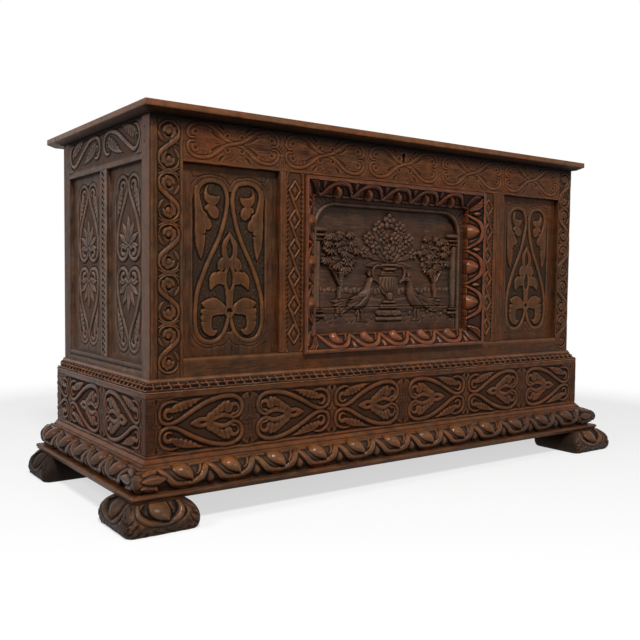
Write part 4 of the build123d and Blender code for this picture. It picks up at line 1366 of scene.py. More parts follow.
def keyhole_pit(face, x, z):
    """The keyhole, sunk through the rail."""
    slot_half = 2.8
    foot = z - 18.0
    depth = 26.0
    hole = [disc(x, z, 4.5), upright(x, (z, foot + slot_half), slot_half)]
    window, far, _ = face.distance(HERE, hole, (), 4.0)
    inside = smooth(0.5 - far / 0.9)
    face.height[window] -= depth * inside
    face.ground[window] = np.maximum(face.ground[window], inside)


def front_rails():
    """The carved top rail with its keyhole, and the plain bottom rail."""
    spot = front_spot(FRONT_Y)
    u_span = (POST_LEFT[1], POST_RIGHT[0])
    face = box_face("rail_front_top", X, FINE, 21, u_span)
    middle = sum(u_span) / 2
    unit = (u_span[1] - u_span[0]) / 5
    axis = 740.0
    for index in range(-2, 3):
        rail_unit(face, Place(middle + index * unit, axis))
    for index in range(-1, 3):
        rail_bracket(face, Place(middle + (index - 0.5) * unit, axis))
    face.ground *= 0.7
    lip = smooth((RAIL_LOW + 5 - face.v) / 2)
    face.fade(lip, -0.1)
    face.polish_and_highlight += 0.5 * lip
    # Painted shadow of the lid along the top.
    face.darken_towards("t", 13.0, 1.0)
    key_x = sum(span("lock_case", X)) / 2
    nail_z = 703.5
    for x in (key_x - 27, key_x + 10):
        face.cut(HERE, [disc(x, nail_z, 0.9)], 4.0, 0.7)
    face.round_border(1.3, "bt")
    face.round_border(0.6, "lr")
    keyhole_pit(face, key_x, TOP_Z - 19)
    carved_piece("rail_front_top", spot, face, oak("oak_rail", "x"), "oak_front")

    plain = box_face("rail_front_bottom", X, 3.0, 22, u_span)
    plain.round_border(2.6, "t")
    plain.round_border(0.6, "lr")
    # Polish along the top edge: a lighter line, wear and painted highlight.
    plain.polish_and_highlight += 0.8 * smooth(1.5 - plain.from_side("t") / 4.0)
    carved_piece("rail_front_bottom", spot, plain, oak("oak_front", "x"), "oak_front")


def front_muntins():
    """The two uprights beside the centre frame: a flat and a band of lozenges."""
    v_span = (SILL, RAIL_LOW)
    pitch = 61.2
    places = [RAIL_LOW - 38 - index * pitch for index in range(5, -1, -1)]
    for side, outer, flat, reeds, seed in (
        ("left", 0, (0.0, 17.6), (7.0,), 31),
        ("right", 1, (44.0, 82.5), (9.0, 15.0), 32),
    ):
        node = "muntin_front_" + side
        face = box_face(node, X, FINE, seed, v_span=v_span)
        low = span(node, X)[0]
        edge = low + flat[1 - outer]
        centre = (edge + span("frame_moulding_" + side, X)[outer]) / 2
        lozenge_band(face, centre, places, (SILL + 14, RAIL_LOW - 14), 14.5, 20.0)
        for reed in reeds:
            for u in (low + sum(flat) / 2 - reed, low + sum(flat) / 2 + reed):
                face.cut(HERE, [upright(u, v_span, 0.3)], 0.9, 1.0)
        face.cut(HERE, [upright(edge, v_span, 0.4)], 1.3, 1.1)
        face.round_border(1.4, "lr"[outer])
        face.round_border(0.5, "bt")
        carved_piece(node, front_spot(FRONT_Y), face, oak("oak_rail", "z"), "oak_front")


def front_panels():
    """The two carved panels, set back in the frame."""
    for node, seed in (("panel_front_left", 41), ("panel_front_right", 42)):
        face = panel_face(node, X, 1.2, seed)
        panel_heart(face, Place(sum(face.ends_u()) / 2, face.vs[0] - 0.5))
        spot = front_spot(span(node, Y)[0])
        carved_piece(node, spot, face, oak("oak_front", "z"), "oak_front", PANEL_SKIN)


def centre_frame():
    """The four mitred mouldings round the relief."""
    left = span("frame_moulding_left", X)[0]
    right = span("frame_moulding_right", X)[1]
    bottom, top = span("frame_moulding_left", Z)
    middle_x = (left + right) / 2
    middle_z = (bottom + top) / 2
    proud = FRONT_Y - span("frame_moulding_left", Y)[0]
    width = 40.0
    fillet = 8.0
    inner_edge = -17.0
    back = -34.0
    rebate = 7.0
    section = [(0, 0), (proud, 0), (proud, fillet), (inner_edge, width)]
    behind = [(back, width), (back, rebate), (0.0, rebate)]
    length = section_length(section)
    # Each side: a point of its outer edge, the way along it and inwards, its grain, where
    # its eggs stand, and the way its ribbon leans, or 0 for eggs in arcs.
    sides = {
        "bottom": ((middle_x, bottom), (1, 0, 0), (0, 0, 1), "x", (-186, -97, -8, 81, 172), 1),
        "top": ((middle_x, top), (1, 0, 0), (0, 0, -1), "x", (-173, -84, 5, 94, 181), -1),
        "left": ((left, middle_z), (0, 0, 1), (1, 0, 0), "z", (-86, 4, 94), 0),
        "right": ((right, middle_z), (0, 0, 1), (-1, 0, 0), "z", (-86, 4, 94), 0),
    }
    seed = 50
    for side, ((x, z), along, inward, grain, eggs, lean) in sides.items():
        spot = Spot((x, FRONT_Y, z), along, inward, (0, -1, 0))
        run = right - left if grain == "x" else top - bottom
        face = Face((-run / 2, run / 2), (0, length), FINE, seed, hand=0.3)
        frame_carving(face, eggs, lean)
        face.fade(smooth((proud + fillet + 1.0 - face.v) / 1.5), 0.0)
        for edge in (proud, proud + fillet):
            face.dull_edge(edge, 0.8, 1.6)
        moulding(
            "frame_moulding_" + side, spot, section, behind, face, reach_in, (True, True),
            oak("oak_frame", grain), "oak_front",
        )
        seed += 10


# ---------------------------------------------------------------- plinth
def circle_through(a, b, c, count=24):
    """Points on the circle through three points, from the first to the last."""
    (ax, ay), (bx, by), (cx, cy) = a, b, c
    a2 = ax**2 + ay**2
    b2 = bx**2 + by**2
    c2 = cx**2 + cy**2
    d = 2 * (ax * (by - cy) + bx * (cy - ay) + cx * (ay - by))
    x = (a2 * (by - cy) + b2 * (cy - ay) + c2 * (ay - by)) / d
    y = (a2 * (cx - bx) + b2 * (ax - cx) + c2 * (bx - ax)) / d
    radius = math.hypot(ax - x, ay - y)
    start = math.atan2(ay - y, ax - x)
    end = math.atan2(cy - y, cx - x)
    angles = np.linspace(start, end, count)
    return [(x + radius * math.cos(t), y + radius * math.sin(t)) for t in angles]


def name_seed(name):
    """A fixed number for a name, to seed its noise."""
    return sum(ord(letter) * (index + 3) for index, letter in enumerate(name)) % 9973


def plinth_runs(stem, section, step, carve, wood, side_wood=None):
    """Front, left and right lengths of one plinth moulding, mitred at the front corners."""
    length = section_length(section)
    behind = [(0.0, section[-1][1]), (0.0, section[0][1])]
    proud = max(out for out, _ in section)
    front_u = (LEFT_X - proud, RIGHT_X + proud)
    side_u = (FRONT_Y - proud, span(stem + "_left", Y)[1])
    front_oak = oak(wood, "x")
    side_oak = oak(side_wood or wood, "y")
    seed = name_seed(stem)
    for side, spot, u_span, ends, material, shift in (
        ("front", front_spot(FRONT_Y), front_u, (True, True), front_oak, 0),
        ("left", side_spot(LEFT_X), side_u, (True, False), side_oak, 7),
        ("right", side_spot(RIGHT_X), side_u, (True, False), side_oak, 7),
    ):
        face = Face(u_span, (0, length), step, seed + shift)
        carve(face, side)
        node = stem + "_" + side
        moulding(node, spot, section, behind, face, reach_out, ends, material, "oak_plinth")


def waist():
    """The sloping chip-carved moulding above the frieze."""
    low, high = span("waist_moulding_front", Z)
    nose = 2.5
    proud = 19.0
    lip = 3.0
    section = [(proud, low), (proud, low + nose), (lip, high - nose), (lip, high)]
    upper = section_length(section) - 7.5

    def carve(face, _side):
        """The same cuts on every side."""
        chip_chain(face, 11.5)
        face.cut(HERE, [level(upper, face.ends_u(), 0.3)], 1.0, 0.9)
        face.polish_and_highlight += 0.8 * smooth((face.v - upper - 1) / 2) + 0.8 * smooth(2.2 - face.v)
        face.dull_edge(nose, 0.9, 2.2)

    plinth_runs("waist_moulding", section, 1.25, carve, "oak_waist")


def frieze():
    """The carved boards round the plinth."""
    low, high = span("frieze_board_front", Z)
    step_z = low + 14.0
    step_out = 28.0
    proud = 18.0
    section = [(step_out, low), (step_out, low + 2.5), (proud, step_z), (proud, high)]
    start = section_length(section[:3])
    axis = start + 184.5 - step_z
    field = (axis - 52.5, axis + 54.0)
    lines = ((field[1] + 0.5, 0.9), (field[0] - 1.5, 1.0), (start - 1.5, 1.5), (4.6, 1.3))

    def carve(face, side):
        """Three pairs of hearts in front, and one and a half at a side."""
        if side == "front":
            frieze_band(face, (-421.0, 0.0, 421.0), *field, axis, 211.0)
        else:
            frieze_band(face, (-30.0, 386.0), *field, axis, 208.0)
        for v, depth in lines:
            face.cut(HERE, [level(v, face.ends_u(2), 0.4)], depth, 1.0)
        # Polish along the bottom edge and the step: a lighter line, wear and painted highlight.
        face.polish_and_highlight += 1.2 * smooth((3.4 - face.v) / 1.5)
        face.polish_and_highlight += 0.5 * smooth(1.6 - np.abs(face.v - start - 1.6) / 1.6)
        face.round_border(0.8, "t")

    plinth_runs("frieze_board", section, MEDIUM, carve, "oak_plinth")


def torus():
    """The bold round moulding with ribbons and bosses."""
    low, high = span("torus_moulding_front", Z)
    neck = 48.0
    belly = 57.0
    crown = 28.0
    foot = low + 4
    bulge = circle_through((neck, foot), (belly, (foot + high) / 2), (crown, high - 2.5))
    section = [(neck, low)] + bulge + [(crown, high)]

    def carve(face, side):
        """Ribbons and eggs, with a leaf on each mitre, and painted shade that darkens the front run towards
        the right.
        """
        left, right = face.ends_u()
        if side == "front":
            eggs = [-590 + 105.3 * index for index in range(12)]
            corners = [(left, 1), (right, -1)]
            # Painted shade: the front run darkens towards the right.
            face.darkening += 0.4 * smooth((face.u - 40.0) / 480.0)
        else:
            eggs = [-195 + 101.0 * index for index in range(5)]
            corners = [(left, 1)]
        torus_carving(face, eggs, corners)

    plinth_runs("torus_moulding", section, MEDIUM, carve, "oak_torus", "oak_torus_side")


# ---------------------------------------------------------------- sides
def sides():
    """Left and right frames: carved rails, chip-cut muntins, and two panels each."""
    for side, x, seed in (("left", LEFT_X, 300), ("right", RIGHT_X, 400)):
        spot = side_spot(x)
        side_rails(side, spot, seed)
        side_muntin(side, spot, seed + 20)
        side_panels(side, seed + 40)


def moulded_lip(face, side, width):
    """A roll along the top or the bottom of a rail, with a quirk beside it."""
    reach = face.from_side(side)
    roll = arch_over((reach - 5.5) / 6.0)
    face.fade(smooth((12 - reach) / 2), 1.1 * roll - 1.2)
    quirk = face.vs[0] + 12.5 if side == "b" else face.vs[-1] - 12.5
    face.cut(HERE, [level(quirk, face.ends_u(), 0.5)], 1.4, width)


def side_rails(side, spot, seed):
    """The carved top rail of one side, and the plain bottom rail, each with its lip."""
    u_span = (span("post_front_left", Y)[1], span("post_back_left", Y)[0])
    node = f"rail_{side}_top"
    face = box_face(node, Y, MEDIUM, seed, u_span)
    axis = 744.0
    face.sink(HERE, [level(axis, face.ends_u(38), 33)], 1.6, 2.0)
    face.ground *= 0.5
    for along in (-1, 1):
        side_scroll(face, Place(sum(u_span) / 2, axis, along))
    moulded_lip(face, "b", 1.0)
    # Painted shadow of the lid along the top.
    face.darken_towards("t", 9.0, 0.95)
    face.round_border(1.6, "b")
    face.round_border(0.7, "lrt")
    carved_piece(node, spot, face, oak("oak_side", "y"), "oak_side")

    node = f"rail_{side}_bottom"
    plain = box_face(node, Y, 2.4, seed + 5, u_span)
    moulded_lip(plain, "t", 1.3)
    plain.darken_towards("t", 13.0, 0.3)
    plain.round_border(1.6, "t")
    plain.round_border(0.6, "lr")
    carved_piece(node, spot, plain, oak("oak_side", "y"), "oak_side")


def side_muntin(side, spot, seed):
    """A side upright: a ridge and a ladder of chip cuts."""
    node = f"muntin_{side}"
    v_span = (span("rail_left_bottom", Z)[1], span("rail_left_top", Z)[0])
    face = box_face(node, Y, 1.3, seed, v_span=v_span)
    low = face.us[0]
    ridge = np.clip(1 - ((face.u - low - 6.5) / 6.2) ** 2, 0, 1)
    face.height += 2.2 * np.sqrt(ridge) - 0.6
    face.polish_and_highlight += 0.5 * ridge
    band = (low + 13.0, low + 32.0)
    for edge in band:
        face.cut(HERE, [upright(edge, v_span, 0.5)], 1.6, 1.0)
    middle = sum(band) / 2
    pitch = 12.6
    for index in range(int((v_span[1] - v_span[0]) / pitch)):
        v = v_span[0] + 7 + index * pitch
        other_v = v + pitch / 2
        chips = [
            line((middle - 1.5, v, 1.4), (band[0] + 3.6, v + 1.0, 2.6)),
            line((middle + 1.5, other_v, 1.4), (band[1] - 3.6, other_v - 1, 2.6)),
        ]
        face.cut(HERE, chips, 2.4, 1.0)
    face.round_border(2.0, "lr")
    face.round_border(0.5, "bt")
    carved_piece(node, spot, face, oak("oak_side", "z"), "oak_side")


def side_panels(side, seed):
    """The two panels of a side, each with a pair of hearts, peak up and peak down."""
    split = 497.0
    for place, shift in (("front", 0), ("back", 10)):
        node = f"panel_{side}_{place}"
        face = panel_face(node, Y, 1.5, seed + shift)
        middle = sum(face.ends_u()) / 2
        ends = (face.vs[0] + 82, face.vs[-1] - 72)
        field = [upright(middle - 14, ends, 52), upright(middle + 14, ends, 52)]
        face.sink(HERE, field, 1.6, 2.0)
        face.ground *= 0.5
        face.stipple(0.12)
        for turn in (1, -1):
            put = Place(middle, split - turn * 8, 0.92 * turn, 1.2, swap=True)
            frieze_heart(face, put, fleur=True)
        outer_x = span(node, X)[0 if side == "left" else 1]
        material = oak("oak_side", "z")
        carved_piece(node, side_spot(outer_x), face, material, "oak_side", PANEL_SKIN)


# ---------------------------------------------------------------- feet
# How high the carved faces of a foot run, measured along their bulge, how far the bulge
# stands out past the foot's box at its widest, and the radius of the upright corners.
FOOT_RUN = 66.0
FOOT_SWELL = 6.0
FOOT_CORNER = 16.0


def foot_inset(z):
    """How far the bulging side of a foot draws in at a height."""
    widest = 19.0
    bulge = 22.0
    rise = 55.0 - widest
    radius = (bulge**2 + rise**2) / (2 * bulge)
    return radius - math.sqrt(max(radius**2 - (z - widest) ** 2, 0))


def foot_carving(face):
    """A boss in a broad U strap, with curls at one end and gouged leaves at the other."""
    face.height += 0.6 * (face.noise(7.0, 8) + 0.6 * face.noise(3.6, 9))
    face.sink(HERE, [level(50, (-30, 26), 19)], 6.5, 4.5)
    curls = [
        curve((52, 62, 2), (60, 57, 6), (67, 50, 7), (67, 42, 5.5), (60, 40, 3), (57, 45, 1.5)),
        curve((50, 36, 2), (57, 27, 6), (66, 22, 7), (69, 13, 5.5), (62, 9, 3), (57, 13, 1.5)),
    ]
    for curl in curls:
        face.stamp(HERE, [curl], top=-0.8, dome=2.4, wall=2.6, moat=1.6)
        face.cut(HERE, [vein(curl[3:-8])], 0.9, 1.1)
    for u, v, lean in (
        (-50, 30, 10), (-60, 40, 14), (-44, 14, 16), (-58, 18, 20), (-68, 26, 16), (-32, 10, 12),
    ):
        gouge = curve((u, v, 0.4), (u - lean * 0.4, v - 6, 1.6), (u - lean, v - 9, 0.3))
        face.cut(HERE, [gouge], 1.8, 1.4)
    for u in (-20, 2, 24, 42):
        face.cut(HERE, [curve((u, 12, 0.3), (u + 7, 7, 1.2), (u + 16, 5, 0.3))], 1.2, 1.4)
    strap = curve(
        (-64, 68, 3), (-56, 58, 4.6), (-45, 43, 5.6), (-26, 29, 6.2), (0, 25, 6.4),
        (22, 32, 6.2), (36, 46, 5.8), (42, 64, 4.5),
    )
    face.stamp(HERE, [strap], top=-0.6, dome=2.0, wall=2.6, moat=2.2, rim=(3, 0.5, 1), shine=0.35)
    boss = curve((6, 30, 0.8), (3, 37, 9), (-2, 46, 17), (-6, 56, 21), (-7, 68, 22))
    face.stamp(HERE, [boss], top=-4.4, dome=9.4, wall=2.6, moat=3.0, moat_w=1.5, shine=0.6)


def foot_side(face, depth, top, flat):
    """How far along, out and up each point of a foot's side is from the foot's middle."""
    z = face.vs / FOOT_RUN * top
    inset = np.array([foot_inset(level_z) for level_z in z])[:, None]
    half_length = face.us[-1]
    half = half_length - inset + FOOT_SWELL
    u = face.us[None, :] / half_length * half
    straight = half - FOOT_CORNER
    angle = np.clip(np.abs(u) - straight, 0, FOOT_CORNER) / FOOT_CORNER * math.pi / 4
    radius = FOOT_CORNER + face.height
    stand = depth / 2
    if not flat:
        stand = stand - inset + FOOT_SWELL
    run = np.sign(u) * (np.minimum(np.abs(u), straight) + radius * np.sin(angle))
    out = stand - FOOT_CORNER + radius * np.cos(angle)
    return run, out, np.repeat(z[:, None], len(face.us), 1)


def foot_piece(node, seed):
    """A cushion-shaped foot whose four sides are wrapped by carved faces."""
    low, high = node_box(node)
    centre = (low + high) / 2
    size_x, size_y, _ = high - low
    back_foot = "back" in node
    left_foot = "left" in node
    # Each side: the way along it and outwards, its length and depth, and how it is cut.
    sides = (
        ((1, 0), (0, -1), size_x, size_y, not back_foot, False),
        ((0, 1), (1, 0), size_y, size_x, not left_foot, False),
        ((-1, 0), (0, 1), size_x, size_y, False, back_foot),
        ((0, -1), (-1, 0), size_y, size_x, left_foot, False),
    )
    columns = []
    tones = {key: [] for key in TONES}
    for along, outward, length, depth, carved, flat in sides:
        face = Face((-length / 2, length / 2), (0.0, FOOT_RUN), 1.7, seed, hand=0.3)
        if carved:
            foot_carving(face)
        face.height -= 2.0 * np.clip(1 - face.v / 4, 0, 1) ** 2
        # Painted shade: the back feet are darkened all over, and the left and right faces of the front feet
        # in part.
        if back_foot:
            face.darkening += 0.7
        elif outward[0]:
            face.darkening += 0.42
        # Darker towards the bottom of each side.
        face.darken_towards("b", 9.0, 0.5)
        run, out, z = foot_side(face, depth, high[Z], flat)
        x = centre[0] + along[0] * run + outward[0] * out
        y = centre[1] + along[1] * run + outward[1] * out
        columns.append(np.stack([x, y, z], -1)[:, :-1])
        for key, values in face.tones().items():
            tones[key].append(values[:, :-1])
        seed += 5
    grid = np.concatenate(columns, 1)
    index = numbered(grid[:, :, 0])
    quads = quads_of(np.hstack([index, index[:, :1]])).tolist()
    faces = quads + [index[0, ::-1].tolist(), index[-1].tolist()]
    joined = {key: np.concatenate(values, 1) for key, values in tones.items()}
    points = grid.reshape(-1, 3)
    material = oak("oak_feet", "x")
    build_piece(node + "_carved", points, faces, joined, material, "carcass", "oak_feet", node)


def feet():
    """The four block feet."""
    for index, name in enumerate(("front_left", "front_right", "back_left", "back_right")):
        foot_piece("foot_" + name, 600 + 40 * index)


# ---------------------------------------------------------------- the relief
# The arched opening, and the planks behind it with the joint between them.
ARCH_HALF = 221.0
ARCH_FOOT = 333.0
ARCH_TOP = 636.0
ARCH_CORNER = 50.0
PLANK_HALF = 236.0
PLANKS_LOW = 322.0
PLANK_JOINT = 406.0
PLANKS_HIGH = 650.0


def relief_scene(face, put):
    """A generic garden relief: an urn of flowers between birds, trees and columns."""
    tool_marks = face.noise(2.6, 8, along=16) + 0.8 * face.noise(4.5, 9, along=5)
    face.height += 0.32 * tool_marks
    for index in range(35):
        bush = disc(-214 + index * 12.5, 108 + 3 * (index % 2), 9)
        face.stamp(put, [bush], top=0.8, dome=2.0, wall=2.0, moat=0.9)
    hills = [
        curve((-225, 84, 24), (-150, 80, 26), (-80, 76, 22), (-20, 70, 20)),
        curve((225, 86, 24), (140, 80, 27), (60, 74, 22), (10, 70, 20)),
    ]
    face.stamp(put, hills, top=1.8, dome=1.4, wall=3.0, moat=0.8)
    for side in (-1, 1):
        relief_tree(face, Place(put.origin[0] + side * 150, put.origin[1] + 60), side)
    face.stamp(put, [level(26, (-230, 230), 32)], top=2.8, dome=2.0, wall=6.0, moat=0.9)
    for index in range(30):
        u = -218 + index * 15
        for turn in (60, 88, 118):
            grass = blade(u, 44 + 9 * math.sin(index * 1.7), turn, 12, 1.8, 1.0)
            face.stamp(put, [grass], top=4.0, dome=0.8, moat=0.7)
    relief_urn(face, Place(put.origin[0], put.origin[1] - 4, grow=1.12))
    for side in (-1, 1):
        relief_bird(face, put, side * 94, 38, side)
        column = upright(side * 214, (50, 232), 9)
        face.stamp(put, [column], top=2.4, dome=6.0, wall=2.0, moat=1.4)
        for v, reach, half in ((54, 16, 5), (64, 13, 3), (226, 13, 3), (236, 16, 4), (248, 20, 6)):
            ring = level(v, (side * (214 - reach), side * 226), half)
            face.stamp(put, [ring], top=5.0, dome=5.0, wall=2.0, moat=1.6)


def relief_tree(face, put, side):
    """A spreading tree with sprays of leaves, which grows from its own origin."""
    trunk = [
        curve((0, -12, 10), (2 * side, 30, 6.5), (-3 * side, 70, 5.5), (0, 105, 4)),
        curve((0, 62, 4), (-18, 90, 3), (-34, 112, 2)),
        curve((0, 72, 4), (16, 96, 3), (34, 110, 2)),
    ]
    face.stamp(put, trunk, top=2.8, dome=5.5, moat=1.4)
    bark = [groove((k, -8), (k - 2 * side, 40), (k, 62)) for k in (-4, 0, 4)]
    face.cut(put, bark, 1.0, 0.9)
    crown = [disc(0, 146, 40), disc(-24, 128, 26), disc(24, 128, 26)]
    face.stamp(put, crown, top=1.2, dome=2.0, wall=8.0, moat=0.0)
    rng = np.random.default_rng(17)
    for index in range(42):
        angle = rng.uniform(0, 2 * math.pi)
        reach = 52 * math.sqrt(rng.uniform(0.02, 1))
        u = side * reach * math.cos(angle)
        v = 140 + 0.95 * reach * math.sin(angle)
        lean = rng.uniform(-30, 30)
        for turn in (-50, -18, 18, 50):
            leaf = blade(u, v + 6, 270 + lean + turn, 17, 3.4)
            face.stamp(put, [leaf], top=2.6 + 1.8 * (index % 3), dome=2.2, wall=1.8, moat=1.3, moat_w=0.9)


def relief_urn(face, put):
    """A two-handled urn on a pedestal, with a bunch of flowers."""
    for side in (-1, 1):
        for angle, length, v in ((24, 74, 160), (44, 84, 160), (66, 88, 162), (8, 58, 156), (82, 60, 165)):
            turn = angle if side > 0 else 180 - angle
            leaf = blade(side * 5, v, turn, length, 7.5, -9 * side)
            face.stamp(put, [leaf], top=1.6, dome=2.6, wall=2.0, moat=1.0)
            face.cut(put, [vein(leaf)], 1.0, 0.8)
    blooms = (
        (0, 250, 17), (-30, 236, 15), (30, 236, 15), (-56, 212, 14), (56, 212, 14), (-68, 182, 12),
        (68, 182, 12), (-16, 214, 14), (16, 214, 14), (-38, 192, 14), (38, 192, 14), (0, 184, 17),
    )
    for index, (u, v, radius) in enumerate(blooms):
        petals = 5 + index % 3
        for turn in range(petals):
            petal = blade(u, v, 90 + 360 * turn / petals, radius, radius * 0.42)
            face.stamp(put, [petal], top=3.0, dome=2.4, wall=1.8, moat=1.1, moat_w=0.9)
        face.stamp(put, [disc(u, v, radius * 0.3)], top=4.6, dome=2.4, wall=1.8, moat=1.0, moat_w=0.9)
    handles = both([curve((16, 152, 3), (34, 156, 3.2), (44, 146, 3.4), (42, 130, 3.2), (30, 120, 2.6))])
    face.stamp(put, handles, top=2.4, dome=3.0, wall=1.8, moat=1.0)
    body = [
        curve((0, 124, 27), (0, 116, 26)),
        line((-12, 148, 5), (12, 148, 5)),
        line((0, 96, 12), (0, 84, 7)),
    ]
    face.stamp(put, body, top=2.4, dome=7.5, wall=2.2, moat=1.4)
    flutes = [groove((k * 3.6, 98), (k * 7.6, 112), (k * 6.8, 128)) for k in (-3, -2, -1, 0, 1, 2, 3)]
    face.cut(put, flutes, 1.3, 1.0)
    for v, reach, half in (
        (136, 24, 2.4), (157, 22, 3.4), (78, 14, 3.4), (68, 20, 5), (54, 28, 7), (42, 34, 5),
    ):
        ring = level(v, (-reach, reach), half)
        face.stamp(put, [ring], top=4.6, dome=2.8, wall=2.0, moat=1.2)
    swags = both([curve((4, 58, 1), (10, 51, 2.2), (18, 51, 2.2), (25, 58, 1))])
    face.stamp(put, swags, top=7.0, dome=1.0, moat=0.8)


def relief_bird(face, put, u, v, side):
    """A long-tailed bird that looks to the urn."""
    at = Place(put.origin[0] + u, put.origin[1] + v, -side, grow=1.35)
    legs = [curve((-2, 2, 1.3), (0, 14, 1.5), (-3, 24, 2.4)), curve((8, 2, 1.3), (8, 14, 1.5), (4, 24, 2.4))]
    toes = [line((-2, 2, 1.2), (6, 0, 0.8)), line((8, 2, 1.2), (16, 0, 0.8))]
    face.stamp(at, legs + toes, top=4.2, dome=1.8, moat=0.8)
    for index in range(5):
        plume = blade(-10, 36, 186 + 10 * index, 50 - 4 * index, 4.8, -6)
        face.stamp(at, [plume], top=3.2, dome=2.4, moat=1.1)
        face.cut(at, [vein(plume)], 0.8, 0.8)
    body = curve(
        (-14, 34, 5), (-4, 32, 11), (8, 38, 13.5), (18, 50, 9.5), (21, 62, 6), (24, 71, 5.2),
        (28, 74, 4.6),
    )
    face.stamp(at, [body], top=3.6, dome=7.0, wall=2.0, moat=1.5)
    face.stamp(at, [line((31, 74, 2), (38, 71, 0.6))], top=4.6, dome=1.6, moat=0.7)
    face.stamp(at, [disc(27, 75, 1.2)], top=9.4, dome=0.8, moat=1.0, moat_w=0.8)
    for index in range(3):
        crest = blade(25, 78, 88 + 22 * index, 12, 1.3, 1)
        face.stamp(at, [crest], top=4.2, dome=1.2, moat=0.5)
    for index in range(4):
        feather = blade(11 - 4 * index, 45 - 3 * index, 196 + 5 * index, 30, 4.2, -3)
        face.stamp(at, [feather], top=8.0 - 0.6 * index, dome=1.8, moat=1.2, moat_w=0.9)


def relief():
    """The two planks of the relief behind the arch."""
    spot = front_spot(span("relief_planks", Y)[0])
    for part, limits, worn_side, seed in (
        ("lower", (PLANKS_LOW, PLANK_JOINT), "t", 71),
        ("upper", (PLANK_JOINT, PLANKS_HIGH), "b", 75),
    ):
        face = Face((-PLANK_HALF, PLANK_HALF), limits, 1.3, seed)
        relief_scene(face, Place(0, ARCH_FOOT))
        face.round_border(2.4, worn_side)
        face.height *= 1.4
        hidden = smooth((np.abs(face.u) - ARCH_HALF - 1) / 2)
        face.fade(hidden, -0.5)
        points, quads, tones = cap_mesh(spot, face, 3.0)
        material = oak("oak_relief", "x")
        build_piece("relief_" + part, points, quads, tones, material, "carcass", "oak_relief")


def arch_face():
    """The carved front of the arch board: a bead round the opening and fans in the corners."""
    face = Face((-242.0, 242.0), (328.0, 656.0), 1.6, 81, hand=0.2)
    centre_u = ARCH_HALF - ARCH_CORNER
    centre_v = ARCH_TOP - ARCH_CORNER
    u = np.abs(face.u)
    rounded = (u > centre_u) & (face.v > centre_v)
    from_arc = np.hypot(np.maximum(u - centre_u, 0), np.maximum(face.v - centre_v, 0)) - ARCH_CORNER
    gap = np.where(rounded, from_arc, np.maximum(u - ARCH_HALF, face.v - ARCH_TOP))
    gap = np.maximum(gap, ARCH_FOOT - face.v)
    bead = 3.0 * arch_over((gap - 4.5) / 4.0)
    quirk = 0.8 * np.exp(-((gap - 10) ** 2))
    face.height = 0.5 + 0.3 * face.height + bead - quirk
    ray_width = 9.0
    angle = np.degrees(np.arctan2(face.v - centre_v, u - centre_u))
    rays = np.abs(np.mod(angle + ray_width / 2, ray_width) - ray_width / 2) / (ray_width / 2)
    fan = rounded * smooth((gap - 10.5) / 1.5)
    face.height += fan * (1.6 * np.sqrt(1 - rays**2 * 0.99) - 1.2)
    face.fade(1 - smooth((gap + 0.4) / 1.4), -3.0)
    spot = front_spot(span("arch_board", Y)[0])
    points = spot(*np.meshgrid(face.us, face.vs), face.height)
    quads = quads_of(numbered(face.height))
    shown = np.ravel(gap > -0.2)[quads].any(1)
    material = oak("oak_relief", "x")
    faces = quads[shown].tolist()
    build_piece("arch_face", points, faces, face.tones(), material, "carcass", "oak_relief")


# ---------------------------------------------------------------- plain pieces
# The wood and the way of the grain of each CAD piece that keeps its shape.
PLAIN_WOOD = {
    "arch_board": ("oak_relief", "x"), "relief_planks": ("oak_relief", "x"),
    "base_board_front": ("oak_base", "x"), "base_board_left": ("oak_base", "y"),
    "base_board_right": ("oak_base", "y"), "base_board_back": ("oak_base", "x"),
    "plinth_board_back": ("oak_back", "x"), "rails_back": ("oak_back", "x"),
    "muntins_back": ("oak_back", "z"), "panels_back": ("oak_back", "z"),
    "hinge_batten": ("oak_back", "x"), "floor_boards": ("oak_inner", "y"),
    "joint_pegs": ("oak_pegs", "y"),
    "post_back_left": ("oak_side", "z"), "post_back_right": ("oak_side", "z"),
}
LID_WOOD = {"lid_boards": "x", "lid_cleats": "y", "lid_back_strip": "x"}
# How far edges are rounded, and the angle from which an edge is one.
WOOD_EDGE = 1.2
LID_EDGE = 1.4
PEG_EDGE = 0.3
IRON_EDGE = 0.4
EDGE_FROM = math.radians(40)


def soften(piece, width):
    """Weld a piece and round its edges by modifiers, without a change to its own mesh."""
    weld = piece.modifiers.new("weld", "WELD")
    weld.merge_threshold = 1e-6
    bevel = piece.modifiers.new("bevel", "BEVEL")
    bevel.width = width * MM
    bevel.segments = 2
    bevel.limit_method = "ANGLE"
    bevel.angle_limit = EDGE_FROM
    bevel.harden_normals = False


def finish_node(node, material, width):
    """One material and worn edges for a CAD node."""
    node.data.materials.clear()
    node.data.materials.append(material)
    soften(node, width)


def plain_nodes():
    """CAD pieces that keep their shape: a finish, and worn edges."""
    bare = iron("wrought_iron", (72, 66, 60), 0.5)
    for name, node in frame["nodes"].items():
        if node.hide_render or name in LID_WOOD:
            continue
        if name in PLAIN_WOOD:
            wood, axis = PLAIN_WOOD[name]
            width = PEG_EDGE if wood == "oak_pegs" else WOOD_EDGE
            finish_node(node, oak(wood, axis), width)
        else:
            finish_node(node, bare, IRON_EDGE)


